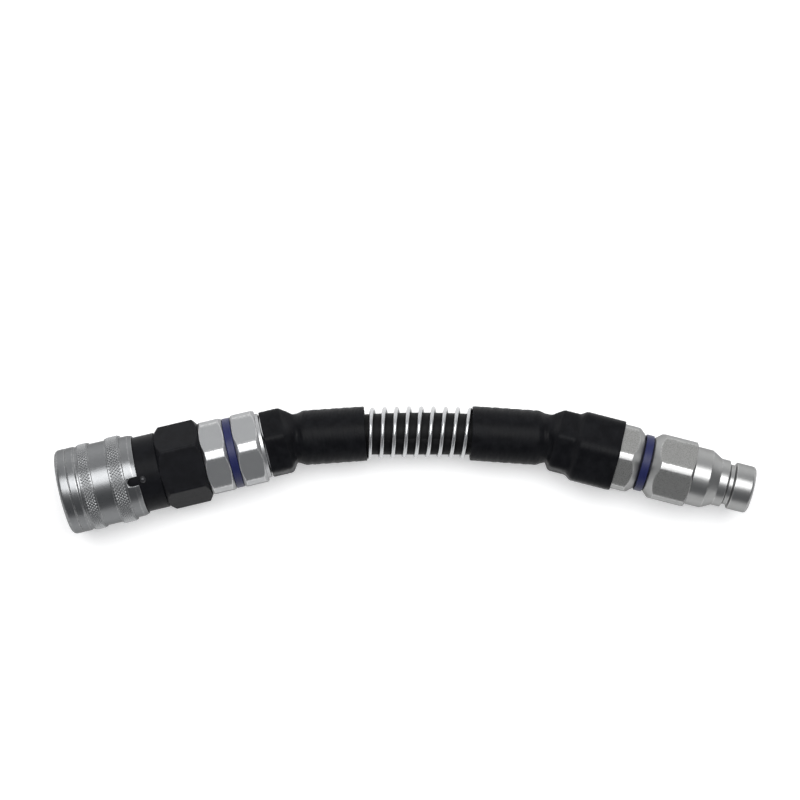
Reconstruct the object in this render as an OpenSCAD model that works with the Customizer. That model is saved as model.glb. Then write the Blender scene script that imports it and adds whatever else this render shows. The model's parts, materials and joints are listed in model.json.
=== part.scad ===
// Hydraulic jumper hose assembly: a flat-face female coupler, a hex adapter, a short two-wire hose in a
// spring guard, and a flat-face male plug. Millimetres, +Z up, lying on its side as it rests on a bench.
// Every turned piece is drawn along its own local Z axis and then placed on the bent centre line.

/* [Centre line] */
// Length of bare hose between the two crimped ferrules
hose_free_length = 73; // [60:1:200]
// Angle that the bare hose turns through between the ferrules
hose_arc_angle = 8; // [4:0.5:20]
// Bend of the hose stem at the coupler end
coupler_bend = 9.5; // [0:0.5:15]
// Bend of the hose stem at the plug end
plug_bend = 10.6; // [0:0.5:15]
// Distance from a ferrule's outer end to the bend in its stem
neck_reach = 5; // [4:0.5:8]
// Distance from the bend in a stem to the rear face of its swivel nut
nut_to_bend = 3; // [2.5:0.5:8]

/* [Hose] */
// Radius of the hose bore, half inch nominal
hose_bore_r = 6.35; // [6.2:0.05:6.5]
// Wall of the rubber inner tube
liner_wall = 1.5; // [1:0.1:2]
// Thickness of the two wire braids together
braid_wall = 2; // [1.5:0.1:2.2]
// Wall of the rubber cover
cover_wall = 1.15; // [0.9:0.05:1.3]
// Gap that stands for the bond between two layers
bond_gap = 0.05; // [0.03:0.01:0.1]

/* [Spring guard] */
// Radius of the guard's wire
guard_wire_r = 1.12; // [0.8:0.02:1.3]
// Gap between the hose and the guard
guard_gap = 1.51; // [0.3:0.01:1.6]
// Distance from one coil of the guard to the next
guard_pitch = 6.8; // [5:0.1:9]
// Angle at which the guard's wire starts
guard_start = 61; // [0:1:359]

/* [Ferrules and stems] */
// Length of each crimped ferrule
ferrule_length = 32; // [28:1:45]
// Wall of each ferrule after crimping
ferrule_wall = 3.35; // [2.8:0.05:3.4]
// Depth of the rings that the crimping jaws leave
crimp_depth = 0.4; // [0.2:0.1:0.6]
// Number of crimped rings on each ferrule
crimp_count = 5; // [3:1:6]
// Radius of the stem's bore
stem_bore_r = 4.6; // [3.5:0.1:5]
// Radius of the stem's neck between its nut and its ferrule
stem_neck_r = 11; // [10:0.1:11.2]

/* [Swivel nuts] */
// Wall of the coupler end nut at its flats
coupler_nut_wall = 3.35; // [2:0.05:5]
// Wall of the plug end nut at its flats
plug_nut_wall = 2.35; // [2:0.05:5]
// Length of each nut
nut_length = 13.4; // [12:0.2:16]
// Radius of the thread that the nuts run on
joint_thread_r = 13.6; // [13:0.1:14]
// Thickness of the flange on the stem
stem_flange_length = 2.9; // [2:0.1:4]
// Thickness of the lip at the rear of a nut
nut_lip = 1.9; // [1.5:0.1:3]

/* [Heat shrink] */
// Wall of the sleeve over the coupler end nut
coupler_shrink_wall = 1.2; // [0.8:0.1:2]
// Wall of the sleeve over the plug end hexagons
plug_shrink_wall = 1.6; // [1:0.1:2]
// Wall of a shrunk sleeve where it covers the guard
shrink_guard_wall = 0.7; // [0.5:0.1:1.5]
// Wall of a shrunk sleeve over the neck
shrink_neck_wall = 1.6; // [1.2:0.1:2.5]
// Length of guard that the coupler end sleeve covers
coupler_shrink_lap = 4.8; // [2:0.2:12]
// Length of guard that the plug end sleeve covers
plug_shrink_lap = 7.9; // [2:0.2:12]
// Length of the plug's body that the plug end sleeve covers
plug_hex_lap = 5.5; // [1:0.5:12]

/* [Coupler body] */
// Radius of the bore that the mating nose enters, thirty millimetre nose
socket_r = 15.1; // [15.02:0.02:15.1]
// Wall of the front tube under the locking sleeve
body_tube_wall = 3.9; // [3.8:0.1:4.4]
// Radial room for the sleeve's spring
sleeve_spring_room = 2.6; // [2.2:0.1:3.2]
// Distance from the front face of the sleeve to the front of the body
body_inset = 0.8; // [0:0.1:2]
// Distance from the front face to the shoulder behind the front tube
body_shoulder = 36.5; // [35:0.5:38]
// Distance from the front face to the start of the hexagon
body_hex_start = 56.6; // [55:0.2:60]
// Length of the body's hexagon
body_hex_length = 25.5; // [24:0.5:32]
// Angle of the body hexagon's corners from the vertical
body_hex_turn = 46; // [0:1:59]
// Size across flats of the body's hexagon
body_hex_af = 42; // [41.5:0.5:44]
// Radius to which the body's corners are turned
body_turned_r = 24.1; // [23.5:0.1:24.2]
// Step from the guide bore out to the threaded port
body_port_step = 1.45; // [1:0.05:1.6]

/* [Locking sleeve] */
// Length of the locking sleeve
sleeve_length = 44.4; // [43:0.2:46]
// Wall of the sleeve at the front band
front_band_wall = 2.75; // [2:0.05:4]
// Rounding of the sleeve's front edge
sleeve_edge_r = 2.4; // [1:0.1:3]
// Distance from the front face to the front knurl
front_knurl_start = 12.6; // [11:0.2:14]
// Length of the front knurl
front_knurl_length = 7; // [5:0.2:9]
// Wall of the sleeve at the front knurl
front_knurl_wall = 3.25; // [2.5:0.05:4.5]
// Wall of the sleeve between the knurls
middle_band_wall = 2.15; // [1.5:0.05:3]
// Distance from the front face to the rear knurl
rear_knurl_start = 29.2; // [27:0.2:31]
// Length of the rear knurl
rear_knurl_length = 8.2; // [6:0.2:9]
// Wall of the sleeve at the rear knurl
rear_knurl_wall = 3.35; // [2.5:0.05:4.5]
// Wall of the sleeve at the rear band
rear_band_wall = 1.75; // [1.4:0.05:2.5]
// Wall of the sleeve at its rear edge
rear_edge_wall = 1.05; // [0.7:0.05:1.3]
// How far the sleeve pulls back
sleeve_travel = 6; // [4:0.5:7]
// Play of the lock ball in the sleeve's notch
notch_play = 0.5; // [0.3:0.1:0.8]
// Angle of the notch and its lock ball round the sleeve
notch_angle = 197; // [0:1:359]

/* [Locking balls] */
// Number of locking balls
ball_count = 12; // [8:1:12]
// Radius of a locking ball
ball_r = 2.4; // [2.2:0.1:2.4]
// Distance from the front face to the row of locking balls
ball_row = 9.9; // [9.6:0.1:10.2]
// Radius of the sleeve's lock ball
lock_ball_r = 2.2; // [2:0.1:2.2]

/* [Coupler valve] */
// Distance from the front face to the flat valve face
valve_face = 6; // [5.9:0.1:6.5]
// Radius of the fixed valve stem's head
valve_head_r = 8; // [7.5:0.1:8]
// How far the valve sleeve is pushed in by a mating plug
valve_travel = 18; // [15:0.5:18.5]
// Distance from the front face to the rear end of the valve sleeve
valve_sleeve_end = 35; // [32:0.5:36]

/* [Hex adapter] */
// Size across flats of the adapter's hexagon
adapter_af = 41; // [40:0.5:42]
// Height of the adapter's turned corners over its flats
adapter_corner = 1.9; // [1:0.1:2.6]
// Length of the adapter's hexagon
adapter_hex_length = 33; // [30:0.5:36]
// Angle of the adapter's corners from the vertical
adapter_turn = 6; // [0:1:30]
// Depth of the collar behind the adapter below its flats
adapter_collar_step = 1.8; // [1:0.1:3]
// Length of the collar behind the adapter's hexagon
adapter_collar_length = 1.9; // [1:0.1:3]
// Radius of the adapter's flow bore
adapter_bore_r = 8.5; // [7:0.1:9]

/* [Identity bands] */
// Width of each coloured band
band_width = 4.4; // [3:0.1:5]
// Thickness of each coloured band
band_wall = 1.3; // [0.8:0.1:1.5]
// Depth of the adapter's groove below its flats
adapter_groove_depth = 1.6; // [1.4:0.1:3]
// Depth of the plug's groove below its flats
plug_groove_depth = 3.5; // [2:0.1:4]
// Angle of the plug groove's flanks to the axis
plug_groove_flank = 42; // [35:1:60]

/* [Plug] */
// Radius of the plug's nose
nose_r = 13.5; // [13.4:0.05:13.6]
// Length of the nose in front of its ball groove
nose_length = 11.2; // [10:0.1:12]
// Rounding of the nose's front edge
nose_edge_r = 2; // [1:0.1:2.5]
// Width of the ball groove at the surface
ball_groove_width = 4.2; // [4:0.1:5]
// Radius of the bottom of the ball groove
ball_groove_r = 11.5; // [11.2:0.1:12]
// Length of the collar behind the ball groove
nose_collar_length = 4.7; // [4:0.1:6]
// Length of the cone behind the collar
nose_cone_length = 6; // [4:0.1:8]
// Radius of the shank behind the cone
shank_r = 16.8; // [16.2:0.1:17.5]
// Length of the shank behind the cone
shank_length = 9.4; // [8:0.1:12]
// Angle of the corners of the plug's hexagons from the vertical
plug_turn = -7; // [-30:1:30]
// Size across flats of the plug's hexagon
plug_af = 37; // [36:0.5:38]
// Height of the plug's turned corners over its flats
plug_corner = 1.8; // [1:0.1:2.4]
// Distance from the tip to the middle of the band
plug_band_at = 62.7; // [61:0.1:66]
// Length of the plug's body from tip to rear face
plug_length = 84; // [82:0.5:92]
// Length of the hexagon of the adapter behind the plug
plug_adapter_length = 17.2; // [15:0.2:20]
// Radius of the poppet
poppet_r = 8; // [7.5:0.1:8]
// How far the poppet is pushed in by a mating coupler
poppet_travel = 10; // [8:0.5:12]

/* [Fits] */
// Radial gap of a running fit
running_gap = 0.05; // [0.03:0.01:0.08]
// Gap that is left where two pieces screw together
thread_gap = 0.05; // [0.03:0.01:0.1]
// Gap between pieces that stand face to face
face_gap = 0.1; // [0.05:0.05:0.3]

/* [Hidden] */
$fn = 72;
eps = 0.01;

// Hose layers
liner_r = hose_bore_r + liner_wall;
braid_bore_r = liner_r + bond_gap;
braid_r = braid_bore_r + braid_wall;
cover_bore_r = braid_r + bond_gap;
hose_r = cover_bore_r + cover_wall;

// Small sizes that several pieces share
small_seal_r = 0.8;
adapter_chamfer = 1.8;
shrink_hex_chamfer = 1.6;
shrink_edge = 0.8;
shrink_step = 0.6;
nut_chamfer = 0.9;
corner_relief = 0.4;
edge_chamfer = 0.3;
plug_nut_gap = 0.8;
seal_pocket_depth = 2 * small_seal_r + 0.2;
shrink_guard_gap = 0.25;
face_seal_wire_r = 0.82;
face_seal_groove_half = 1.2;
ferrule_hook_r = 8.5;
ferrule_hook_length = 2.9;

// Ferrules, guard and heat shrink follow the hose
stem_tail_r = hose_bore_r - bond_gap;
ferrule_r = hose_r + bond_gap + ferrule_wall;
guard_outer_r = hose_r + guard_gap + 2 * guard_wire_r;
shrink_guard_r = max(guard_outer_r, ferrule_r) + shrink_guard_gap;
shrink_ferrule_r = shrink_guard_r + shrink_guard_wall;
shrink_neck_bore_r = stem_neck_r + 1.2;
shrink_neck_r = shrink_neck_bore_r + shrink_neck_wall;

// Nuts and flanges follow the thread
stem_flange_r = joint_thread_r - 4 * thread_gap;
nut_lip_bore_r = stem_neck_r + 0.6;
coupler_nut_af = 2 * (joint_thread_r + thread_gap + coupler_nut_wall);
plug_nut_af = 2 * (joint_thread_r + thread_gap + plug_nut_wall);
face_seal_r = joint_thread_r - 2.6;

// Coupler body and sleeve follow the socket
guide_bore_r = socket_r - 0.05;
body_tube_r = socket_r + body_tube_wall;
body_r = body_tube_r + sleeve_spring_room;
body_port_r = guide_bore_r + body_port_step;
sleeve_bore_r = body_r + running_gap;
sleeve_front_r = sleeve_bore_r + front_band_wall;
front_knurl_r = sleeve_bore_r + front_knurl_wall;
middle_band_r = sleeve_bore_r + middle_band_wall;
rear_knurl_r = sleeve_bore_r + rear_knurl_wall;
rear_band_r = sleeve_bore_r + rear_band_wall;
rear_edge_r = sleeve_bore_r + rear_edge_wall;
notch_width = 2 * lock_ball_r + notch_play;

// Turned corners, collar and grooves follow the hexagons
adapter_turned_r = adapter_af / 2 + adapter_corner;
adapter_collar_r = adapter_af / 2 - adapter_collar_step;
adapter_groove_r = adapter_af / 2 - adapter_groove_depth;
plug_turned_r = plug_af / 2 + plug_corner;
plug_groove_r = plug_af / 2 - plug_groove_depth;

// Coupler group, measured from the coupler's front face
coupler_length = body_hex_start + body_hex_length;
adapter_hex_end = coupler_length + adapter_hex_length;
adapter_end = adapter_hex_end + adapter_collar_length;
coupler_nut_start = adapter_end + face_gap;
coupler_nut_end = coupler_nut_start + nut_length;
coupler_bend_at = coupler_nut_end + nut_to_bend;

// Plug group, measured from the plug's tip
groove_end = nose_length + ball_groove_width;
nose_collar_end = groove_end + nose_collar_length;
nose_cone_end = nose_collar_end + nose_cone_length;
shank_end = nose_cone_end + shank_length;
plug_adapter_end = plug_length + plug_adapter_length;
plug_nut_start = plug_adapter_end + plug_nut_gap;
plug_nut_end = plug_nut_start + nut_length;
plug_bend_at = plug_nut_end + nut_to_bend;

// Centre line in its own plane: the hose's arc has its top at the origin
arc_r = hose_free_length / (hose_arc_angle * PI / 180);
half_arc = hose_arc_angle / 2;
arc_end_u = arc_r * sin(half_arc);
arc_end_v = arc_r * (cos(half_arc) - 1);
stem_reach = neck_reach + ferrule_length;
coupler_angle = half_arc + coupler_bend;
plug_angle = half_arc + plug_bend;
coupler_bend_point = [-arc_end_u - stem_reach * cos(half_arc), arc_end_v - stem_reach * sin(half_arc)];
plug_bend_point = [arc_end_u + stem_reach * cos(half_arc), arc_end_v - stem_reach * sin(half_arc)];
face_point = coupler_bend_point - coupler_bend_at * [cos(coupler_angle), sin(coupler_angle)];
tip_point = plug_bend_point + plug_bend_at * [cos(plug_angle), -sin(plug_angle)];

// Seats and bores inside the coupler
valve_guide_r = guide_bore_r - running_gap;
valve_spring_room = 9;
body_port_start = valve_sleeve_end + valve_travel + valve_spring_room;
entry_chamfer = 0.6;
entry_end = valve_face - 2 * face_gap;
socket_relief_depth = 0.6;
socket_relief_length = 0.8;
sleeve_relief_r = body_tube_r + 2;
land_start = ball_row - ball_r - 0.5;
land_end = ball_row + ball_r + 1.2;
land_r = body_tube_r + running_gap;
stop_ring_start = 5.2;
stop_ring_length = 1.4;
stop_ring_r = body_tube_r + 1.5;
stop_ring_depth = 0.8;
thrust_ring_start = land_end + face_gap;
thrust_ring_length = 1.2;
ball_circle_r = body_tube_r - ball_r - running_gap;
ball_hole_r = ball_r + face_gap;
ball_lip_r = ball_r - 0.28;
ball_lip_depth = 0.3;
lock_ball_at = sleeve_length + 0.3 + lock_ball_r;
lock_ball_circle_r = body_r - 0.4;
notch_depth = sleeve_travel;
nose_seal_at = 14.7;
nose_seal_wire_r = 1.25;
nose_seal_r = socket_r - 0.2 + nose_seal_wire_r;
valve_front_r = valve_guide_r - 1.2;
valve_front_length = 9.6;
valve_seal_land = 8;
valve_cavity_r = 11.2;
valve_rod_r = 4.5;
valve_plate_length = 4.5;
valve_holes = 6;
valve_hole_r = 2.9;
valve_hole_circle_r = 9.6;
adapter_stub_start = body_port_start + valve_plate_length + face_gap;
valve_seal_at = valve_face + 3.6;
body_front_chamfer = 3.4;
body_rear_chamfer = 2.4;

// Seats and bores inside the plug
nose_bore_r = poppet_r + running_gap;
poppet_land = 17;
poppet_seat = poppet_land + 0.4;
cavity_r = 11;
guide_r = 12;
guide_length = 4;
guide_hole_circle_r = 7.6;
poppet_flange_r = 10;
poppet_flange_length = 2.6;
poppet_flange_end = poppet_seat + poppet_flange_r - poppet_r + poppet_flange_length;
poppet_spring_room = 16;
poppet_seal_at = 6;
poppet_rod_r = 3.5;
guide_seat = poppet_flange_end + poppet_travel + poppet_spring_room;
poppet_rod_end = guide_seat + guide_length + 2;
guide_ring_length = 1.2;
guide_ring_depth = 0.9;
plug_port_start = 72;
plug_port_r = 13.5;

// Springs: wire radius, mean radius, first and last level of the wire's centre
sleeve_wire_r = 0.85;
sleeve_coil_r = (body_tube_r + sleeve_bore_r) / 2;
sleeve_spring_turns = 6;
valve_wire_r = 0.8;
valve_coil_r = (valve_cavity_r + valve_guide_r) / 2;
valve_spring_turns = 5;
poppet_wire_r = 0.7;
poppet_coil_r = 8.6;
poppet_spring_turns = 6;
guard_rings = 8;
inner_rings = 16;
wire_sides = 6;

// Where the assembly touches the bench: the rear knurl, the adapter's inner end and the plug's heat shrink
rest_knurl_at = rear_knurl_start + rear_knurl_length;
rest_adapter_at = adapter_hex_end - adapter_chamfer;
rest_plug_at = plug_adapter_end + coupler_shrink_wall - shrink_hex_chamfer;
rest_knurl_point = face_point + rest_knurl_at * [cos(coupler_angle), sin(coupler_angle)];
rest_adapter_point = face_point + rest_adapter_at * [cos(coupler_angle), sin(coupler_angle)];
rest_plug_point = tip_point - rest_plug_at * [cos(plug_angle), -sin(plug_angle)];

// Reach of a turned hexagon towards the bench when its nearest corner is off the vertical by an angle
function corner_reach(af, turned_r, off) =
    turned_r * cos(max(0, abs(off) - (30 - acos(af / 2 / turned_r))));
// Height of a ring's centre when its rim touches the bench, for a plane with slopes s along u and v
function touch_height(r, s, a) = r * sqrt(1 - pow(s[0] * cos(a) + s[1] * sin(a), 2));
function knurl_height(s) = touch_height(rear_knurl_r, s, coupler_angle);
function adapter_height(s) =
    touch_height(corner_reach(adapter_af, adapter_turned_r, adapter_turn + asin(s[1])), s, coupler_angle);
function plug_height(s) =
    touch_height(corner_reach(plug_af + 2 * plug_shrink_wall, plug_turned_r + plug_shrink_wall,
        plug_turn - asin(s[1])), s, -plug_angle);
// Slopes of a plane that rises by two heights over two steps
function plane_slopes(p, q, hp, hq) =
    let (d = p[0] * q[1] - q[0] * p[1])
    [(hp * q[1] - hq * p[1]) / d, (p[0] * hq - q[0] * hp) / d];
function settle(s, n) =
    n == 0 ? s : settle(plane_slopes(rest_knurl_point - rest_adapter_point,
        rest_plug_point - rest_adapter_point, knurl_height(s) - adapter_height(s),
        plug_height(s) - adapter_height(s)), n - 1);
slopes = settle([0, 0], 6);
rest_pitch = -asin(slopes[0]);
rest_roll = asin(slopes[1] / cos(rest_pitch));
rest_lift = adapter_height(slopes) - slopes * rest_adapter_point;

// Middle of the resting box
low_x = face_point[0] + sleeve_edge_r * (cos(coupler_angle) - 1)
    - (sleeve_front_r - sleeve_edge_r) * sin(coupler_angle);
high_x = tip_point[0] + nose_edge_r * (1 - cos(plug_angle)) + (nose_r - nose_edge_r) * sin(plug_angle);
low_y = (face_point[1] + sleeve_edge_r * sin(coupler_angle)) * cos(rest_roll) - sleeve_edge_r
    - (sleeve_front_r - sleeve_edge_r) * sqrt(1 - pow(sin(coupler_angle) * cos(rest_roll), 2));
centre_x = (low_x + high_x) / 2;
centre_y = (low_y + guard_outer_r) / 2;

// Turns a piece about the plane's axes until it lies on the bench, with the box centred over the origin
module resting() {
    translate([-centre_x, -centre_y, rest_lift]) rotate([rest_roll, rest_pitch, 0]) children();
}

// Puts a piece's local Z axis on the centre line at a point of the plane, heading at an angle
module on_line(point, heading) {
    resting() translate([point[0], point[1], 0]) rotate([0, 0, heading]) rotate([0, 90, 0]) children();
}

module coupler_frame() {
    on_line(face_point, coupler_angle) children();
}

module plug_frame() {
    on_line(tip_point, 180 - plug_angle) children();
}

module coupler_stem_frame() {
    on_line(coupler_bend_point, half_arc) children();
}

module plug_stem_frame() {
    on_line(plug_bend_point, 180 - half_arc) children();
}

// A tube or disc from one level to another
module tube(outer_r, inner_r, low, high) {
    translate([0, 0, low]) difference() {
        cylinder(r = outer_r, h = high - low);
        translate([0, 0, -1]) cylinder(r = inner_r, h = high - low + 2);
    }
}

// A plain round bar from one level to another
module bar(r, low, high) {
    translate([0, 0, low]) cylinder(r = r, h = high - low);
}

// A cone between two radii at two levels
module taper(low_r, high_r, low, high) {
    translate([0, 0, low]) cylinder(r1 = low_r, r2 = high_r, h = high - low);
}

// A ring of round wire, such as a seal
module wire_ring(ring_r, wire_r, level) {
    translate([0, 0, level]) rotate_extrude() translate([ring_r, 0]) circle(r = wire_r, $fn = 36);
}

// A hexagonal bar with corners turned to a radius and ends chamfered down to just under its flats
module hex_bar(af, turned_r, low, high, low_chamfer, high_chamfer, turn = 0) {
    end_r = af / 2 - 0.3;
    intersection() {
        rotate([0, 0, turn]) translate([0, 0, low]) cylinder(r = af / 2 / cos(30), h = high - low, $fn = 6);
        rotate_extrude() polygon([
            [0, low], [end_r, low], [turned_r, low + low_chamfer],
            [turned_r, high - high_chamfer], [end_r, high], [0, high]
        ]);
    }
}

// Points of a coil's centre line: a helix about a straight axis, or about an arc that bends towards -Y
function axis_point(s, bend_r) =
    bend_r == 0 ? [0, 0, s]
        : [0, bend_r * (cos(s / bend_r * 180 / PI) - 1), bend_r * sin(s / bend_r * 180 / PI)];
function axis_side(s, bend_r) =
    bend_r == 0 ? [0, 1, 0] : [0, cos(s / bend_r * 180 / PI), sin(s / bend_r * 180 / PI)];
function coil_side(s, turn, bend_r) = cos(turn) * axis_side(s, bend_r) + sin(turn) * [1, 0, 0];
function coil_point(i, n, low, high, turns, from, coil_r, bend_r) =
    let (s = low + (high - low) * i / n)
    axis_point(s, bend_r) + coil_r * coil_side(s, from + i / n * turns * 360, bend_r);
function unit(v) = v / norm(v);
function across(v, side) = v - (v * side) * side;

// Every ring of the wire: its centre and two square directions, with a straight run at each end
function coil_rings(n, low, high, turns, from, coil_r, wire_r, bend_r) =
    let (
        path = [for (i = [0:n]) coil_point(i, n, low, high, turns, from, coil_r, bend_r)],
        first_way = unit(across(path[0] - path[1], coil_side(low, from, bend_r))),
        last_way = unit(across(path[n] - path[n - 1], coil_side(high, from + turns * 360, bend_r))),
        first = path[0] + 2 * wire_r * first_way,
        last = path[n] + 2 * wire_r * last_way,
        line = concat([first], path, [last])
    )
    [for (i = [0:n + 2])
        let (
            k = min(max(i - 1, 0), n),
            side = coil_side(low + (high - low) * k / n, from + k / n * turns * 360, bend_r),
            ahead = unit(line[min(i + 1, n + 2)] - line[max(i - 1, 0)]),
            out = unit(across(side, ahead))
        )
        [line[i], out, cross(ahead, out)]];

// Least distance between the wire's surfaces on neighbouring turns, measured from ring to ring
function coil_gap(rings, per_turn, wire_r) =
    min([for (i = [0:len(rings) - 1]) for (j = [i + per_turn - 3:min(i + per_turn + 3, len(rings) - 1)])
        norm(rings[i][0] - rings[j][0])]) - 2 * wire_r;

// One unbroken wire wound as a coil
module coil(name, low, high, turns, coil_r, wire_r, per_turn = inner_rings, bend_r = 0, from = 0) {
    rings = coil_rings(round(turns * per_turn), low, high, turns, from, coil_r, wire_r, bend_r);
    count = len(rings);
    points = [for (ring = rings) for (k = [0:wire_sides - 1])
        ring[0] + wire_r * (cos(k * 360 / wire_sides) * ring[1] + sin(k * 360 / wire_sides) * ring[2])];
    skin = [for (i = [0:count - 2]) for (k = [0:wire_sides - 1])
        let (a = i * wire_sides + k, b = i * wire_sides + (k + 1) % wire_sides)
        each [[a, a + wire_sides, b], [b, a + wire_sides, b + wire_sides]]];
    first_cap = [for (k = [1:wire_sides - 2]) [0, k, k + 1]];
    end = (count - 1) * wire_sides;
    last_cap = [for (k = [1:wire_sides - 2]) [end, end + k + 1, end + k]];
    echo(str(name, ": least gap between turns, mm"), coil_gap(rings, per_turn, wire_r));
    polyhedron(points = points, faces = concat(skin, first_cap, last_cap), convexity = 10);
}

// Coupler

module coupler_body() {
    color("#1b1b1e") coupler_frame() difference() {
        union() {
            bar(body_tube_r, body_inset, body_shoulder + eps);
            bar(body_r, body_shoulder, body_hex_start + eps);
            hex_bar(body_hex_af, body_turned_r, body_hex_start, coupler_length, body_front_chamfer,
                body_rear_chamfer, body_hex_turn);
        }
        taper(socket_r + entry_chamfer, socket_r, body_inset - eps, body_inset + entry_chamfer);
        bar(socket_r, body_inset, entry_end);
        bar(socket_r + socket_relief_depth, entry_end - eps, entry_end + socket_relief_length);
        bar(guide_bore_r, entry_end - eps, body_port_start + eps);
        bar(body_port_r, body_port_start, coupler_length + 1);
        bar(body_port_r + seal_pocket_depth, coupler_length - seal_pocket_depth, coupler_length + 1);
        tube(body_tube_r + 1, body_tube_r - stop_ring_depth, stop_ring_start - face_gap,
            stop_ring_start + stop_ring_length + face_gap);
        tube(nose_seal_r + nose_seal_wire_r + running_gap, 1, nose_seal_at - nose_seal_wire_r - face_gap,
            nose_seal_at + nose_seal_wire_r + face_gap);
        for (i = [0:ball_count - 1])
            rotate([0, 0, i * 360 / ball_count]) translate([0, 0, ball_row]) rotate([0, 90, 0]) {
                cylinder(r = ball_lip_r, h = body_tube_r + 1);
                translate([0, 0, guide_bore_r + ball_lip_depth]) cylinder(r = ball_hole_r, h = body_tube_r);
            }
        rotate([0, 0, notch_angle]) translate([0, 0, lock_ball_at]) rotate([0, 90, 0])
            translate([0, 0, lock_ball_circle_r - lock_ball_r - face_gap])
                cylinder(r = lock_ball_r + running_gap, h = body_r);
    }
}

module locking_balls() {
    color("silver") coupler_frame() for (i = [0:ball_count - 1])
        rotate([0, 0, i * 360 / ball_count]) translate([ball_circle_r, 0, ball_row])
            sphere(r = ball_r, $fn = 32);
}

module sleeve_lock_ball() {
    color("#3a3a3d") coupler_frame() rotate([0, 0, notch_angle])
        translate([lock_ball_circle_r, 0, lock_ball_at]) sphere(r = lock_ball_r, $fn = 32);
}

module sleeve_stop_ring() {
    ring_gap = 6;
    color("dimgray") coupler_frame() difference() {
        tube(stop_ring_r, body_tube_r - stop_ring_depth + running_gap, stop_ring_start,
            stop_ring_start + stop_ring_length);
        translate([0, -ring_gap / 2, stop_ring_start - 1])
            cube([stop_ring_r + 1, ring_gap, stop_ring_length + 2]);
    }
}

module locking_sleeve() {
    line_at = 6.4;
    line_depth = 0.4;
    step = 1;
    rear_taper = 2.4;
    color("#b9bbbd") coupler_frame() difference() {
        rotate_extrude() difference() {
            polygon([
                [0, 0], [sleeve_front_r, 0], [sleeve_front_r, line_at - line_depth],
                [sleeve_front_r - line_depth, line_at], [sleeve_front_r, line_at + line_depth],
                [sleeve_front_r, front_knurl_start - 2 * step],
                [middle_band_r, front_knurl_start - step], [middle_band_r, front_knurl_start],
                [front_knurl_r, front_knurl_start],
                [front_knurl_r, front_knurl_start + front_knurl_length],
                [middle_band_r, front_knurl_start + front_knurl_length],
                [middle_band_r, rear_knurl_start], [rear_knurl_r, rear_knurl_start],
                [rear_knurl_r, rear_knurl_start + rear_knurl_length],
                [rear_band_r, rear_knurl_start + rear_knurl_length],
                [rear_band_r, sleeve_length - rear_taper], [rear_edge_r, sleeve_length], [0, sleeve_length]
            ]);
            difference() {
                translate([sleeve_front_r - sleeve_edge_r, -1])
                    square([sleeve_edge_r + 1, sleeve_edge_r + 1]);
                translate([sleeve_front_r - sleeve_edge_r, sleeve_edge_r]) circle(r = sleeve_edge_r);
            }
        }
        bar(sleeve_relief_r, -1, land_start);
        bar(land_r, land_start - eps, land_end + eps);
        bar(sleeve_bore_r, land_end, sleeve_length + 1);
        rotate([0, 0, notch_angle]) {
            translate([land_r, -notch_width / 2, sleeve_length - notch_depth + notch_width / 2])
                cube([rear_knurl_r, notch_width, sleeve_length]);
            translate([land_r, 0, sleeve_length - notch_depth + notch_width / 2]) rotate([0, 90, 0])
                cylinder(r = notch_width / 2, h = rear_knurl_r);
        }
    }
}

module sleeve_thrust_ring() {
    color("dimgray") coupler_frame()
        tube(sleeve_bore_r - face_gap, body_tube_r + face_gap, thrust_ring_start,
            thrust_ring_start + thrust_ring_length);
}

module sleeve_spring() {
    low = thrust_ring_start + thrust_ring_length + sleeve_wire_r + face_gap;
    high = body_shoulder - sleeve_wire_r - face_gap;
    color("silver") coupler_frame()
        coil("sleeve_spring", low, high, sleeve_spring_turns, sleeve_coil_r, sleeve_wire_r);
}

module valve_sleeve() {
    front_end = valve_face + valve_front_length;
    guide_start = front_end + 1.4;
    seal_end = valve_face + valve_seal_land;
    bore_r = valve_head_r + running_gap;
    color("silver") coupler_frame() rotate_extrude() polygon([
        [bore_r, valve_face], [valve_front_r - 0.5, valve_face], [valve_front_r, valve_face + 0.5],
        [valve_front_r, front_end], [valve_guide_r, guide_start], [valve_guide_r, valve_sleeve_end],
        [valve_cavity_r, valve_sleeve_end], [valve_cavity_r, seal_end + valve_cavity_r - bore_r],
        [bore_r, seal_end]
    ]);
}

module valve_sleeve_spring() {
    low = valve_sleeve_end + valve_wire_r + face_gap;
    high = body_port_start - valve_wire_r - face_gap;
    color("silver") coupler_frame()
        coil("valve_sleeve_spring", low, high, valve_spring_turns, valve_coil_r, valve_wire_r);
}

module valve_stem() {
    head_end = valve_face + valve_seal_land - 0.5;
    groove_half = small_seal_r + face_gap;
    groove_r = valve_head_r - 2 * small_seal_r - running_gap;
    plate_end = body_port_start + valve_plate_length;
    color("silver") coupler_frame() difference() {
        union() {
            rotate_extrude() polygon([
                [0, valve_face], [valve_head_r - edge_chamfer, valve_face],
                [valve_head_r, valve_face + edge_chamfer],
                [valve_head_r, valve_seal_at - groove_half], [groove_r, valve_seal_at - groove_half],
                [groove_r, valve_seal_at + groove_half], [valve_head_r, valve_seal_at + groove_half],
                [valve_head_r, head_end], [valve_rod_r, head_end + valve_head_r - valve_rod_r],
                [valve_rod_r, plate_end], [0, plate_end]
            ]);
            bar(body_port_r - thread_gap, body_port_start, plate_end);
        }
        for (i = [0:valve_holes - 1])
            rotate([0, 0, i * 360 / valve_holes])
                translate([valve_hole_circle_r, 0, body_port_start - 1])
                    cylinder(r = valve_hole_r, h = valve_plate_length + 2);
    }
}

module valve_stem_seal() {
    color("#202020") coupler_frame()
        wire_ring(valve_head_r - small_seal_r, small_seal_r, valve_seal_at);
}

module socket_nose_seal() {
    color("#202020") coupler_frame() wire_ring(nose_seal_r, nose_seal_wire_r, nose_seal_at);
}

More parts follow.
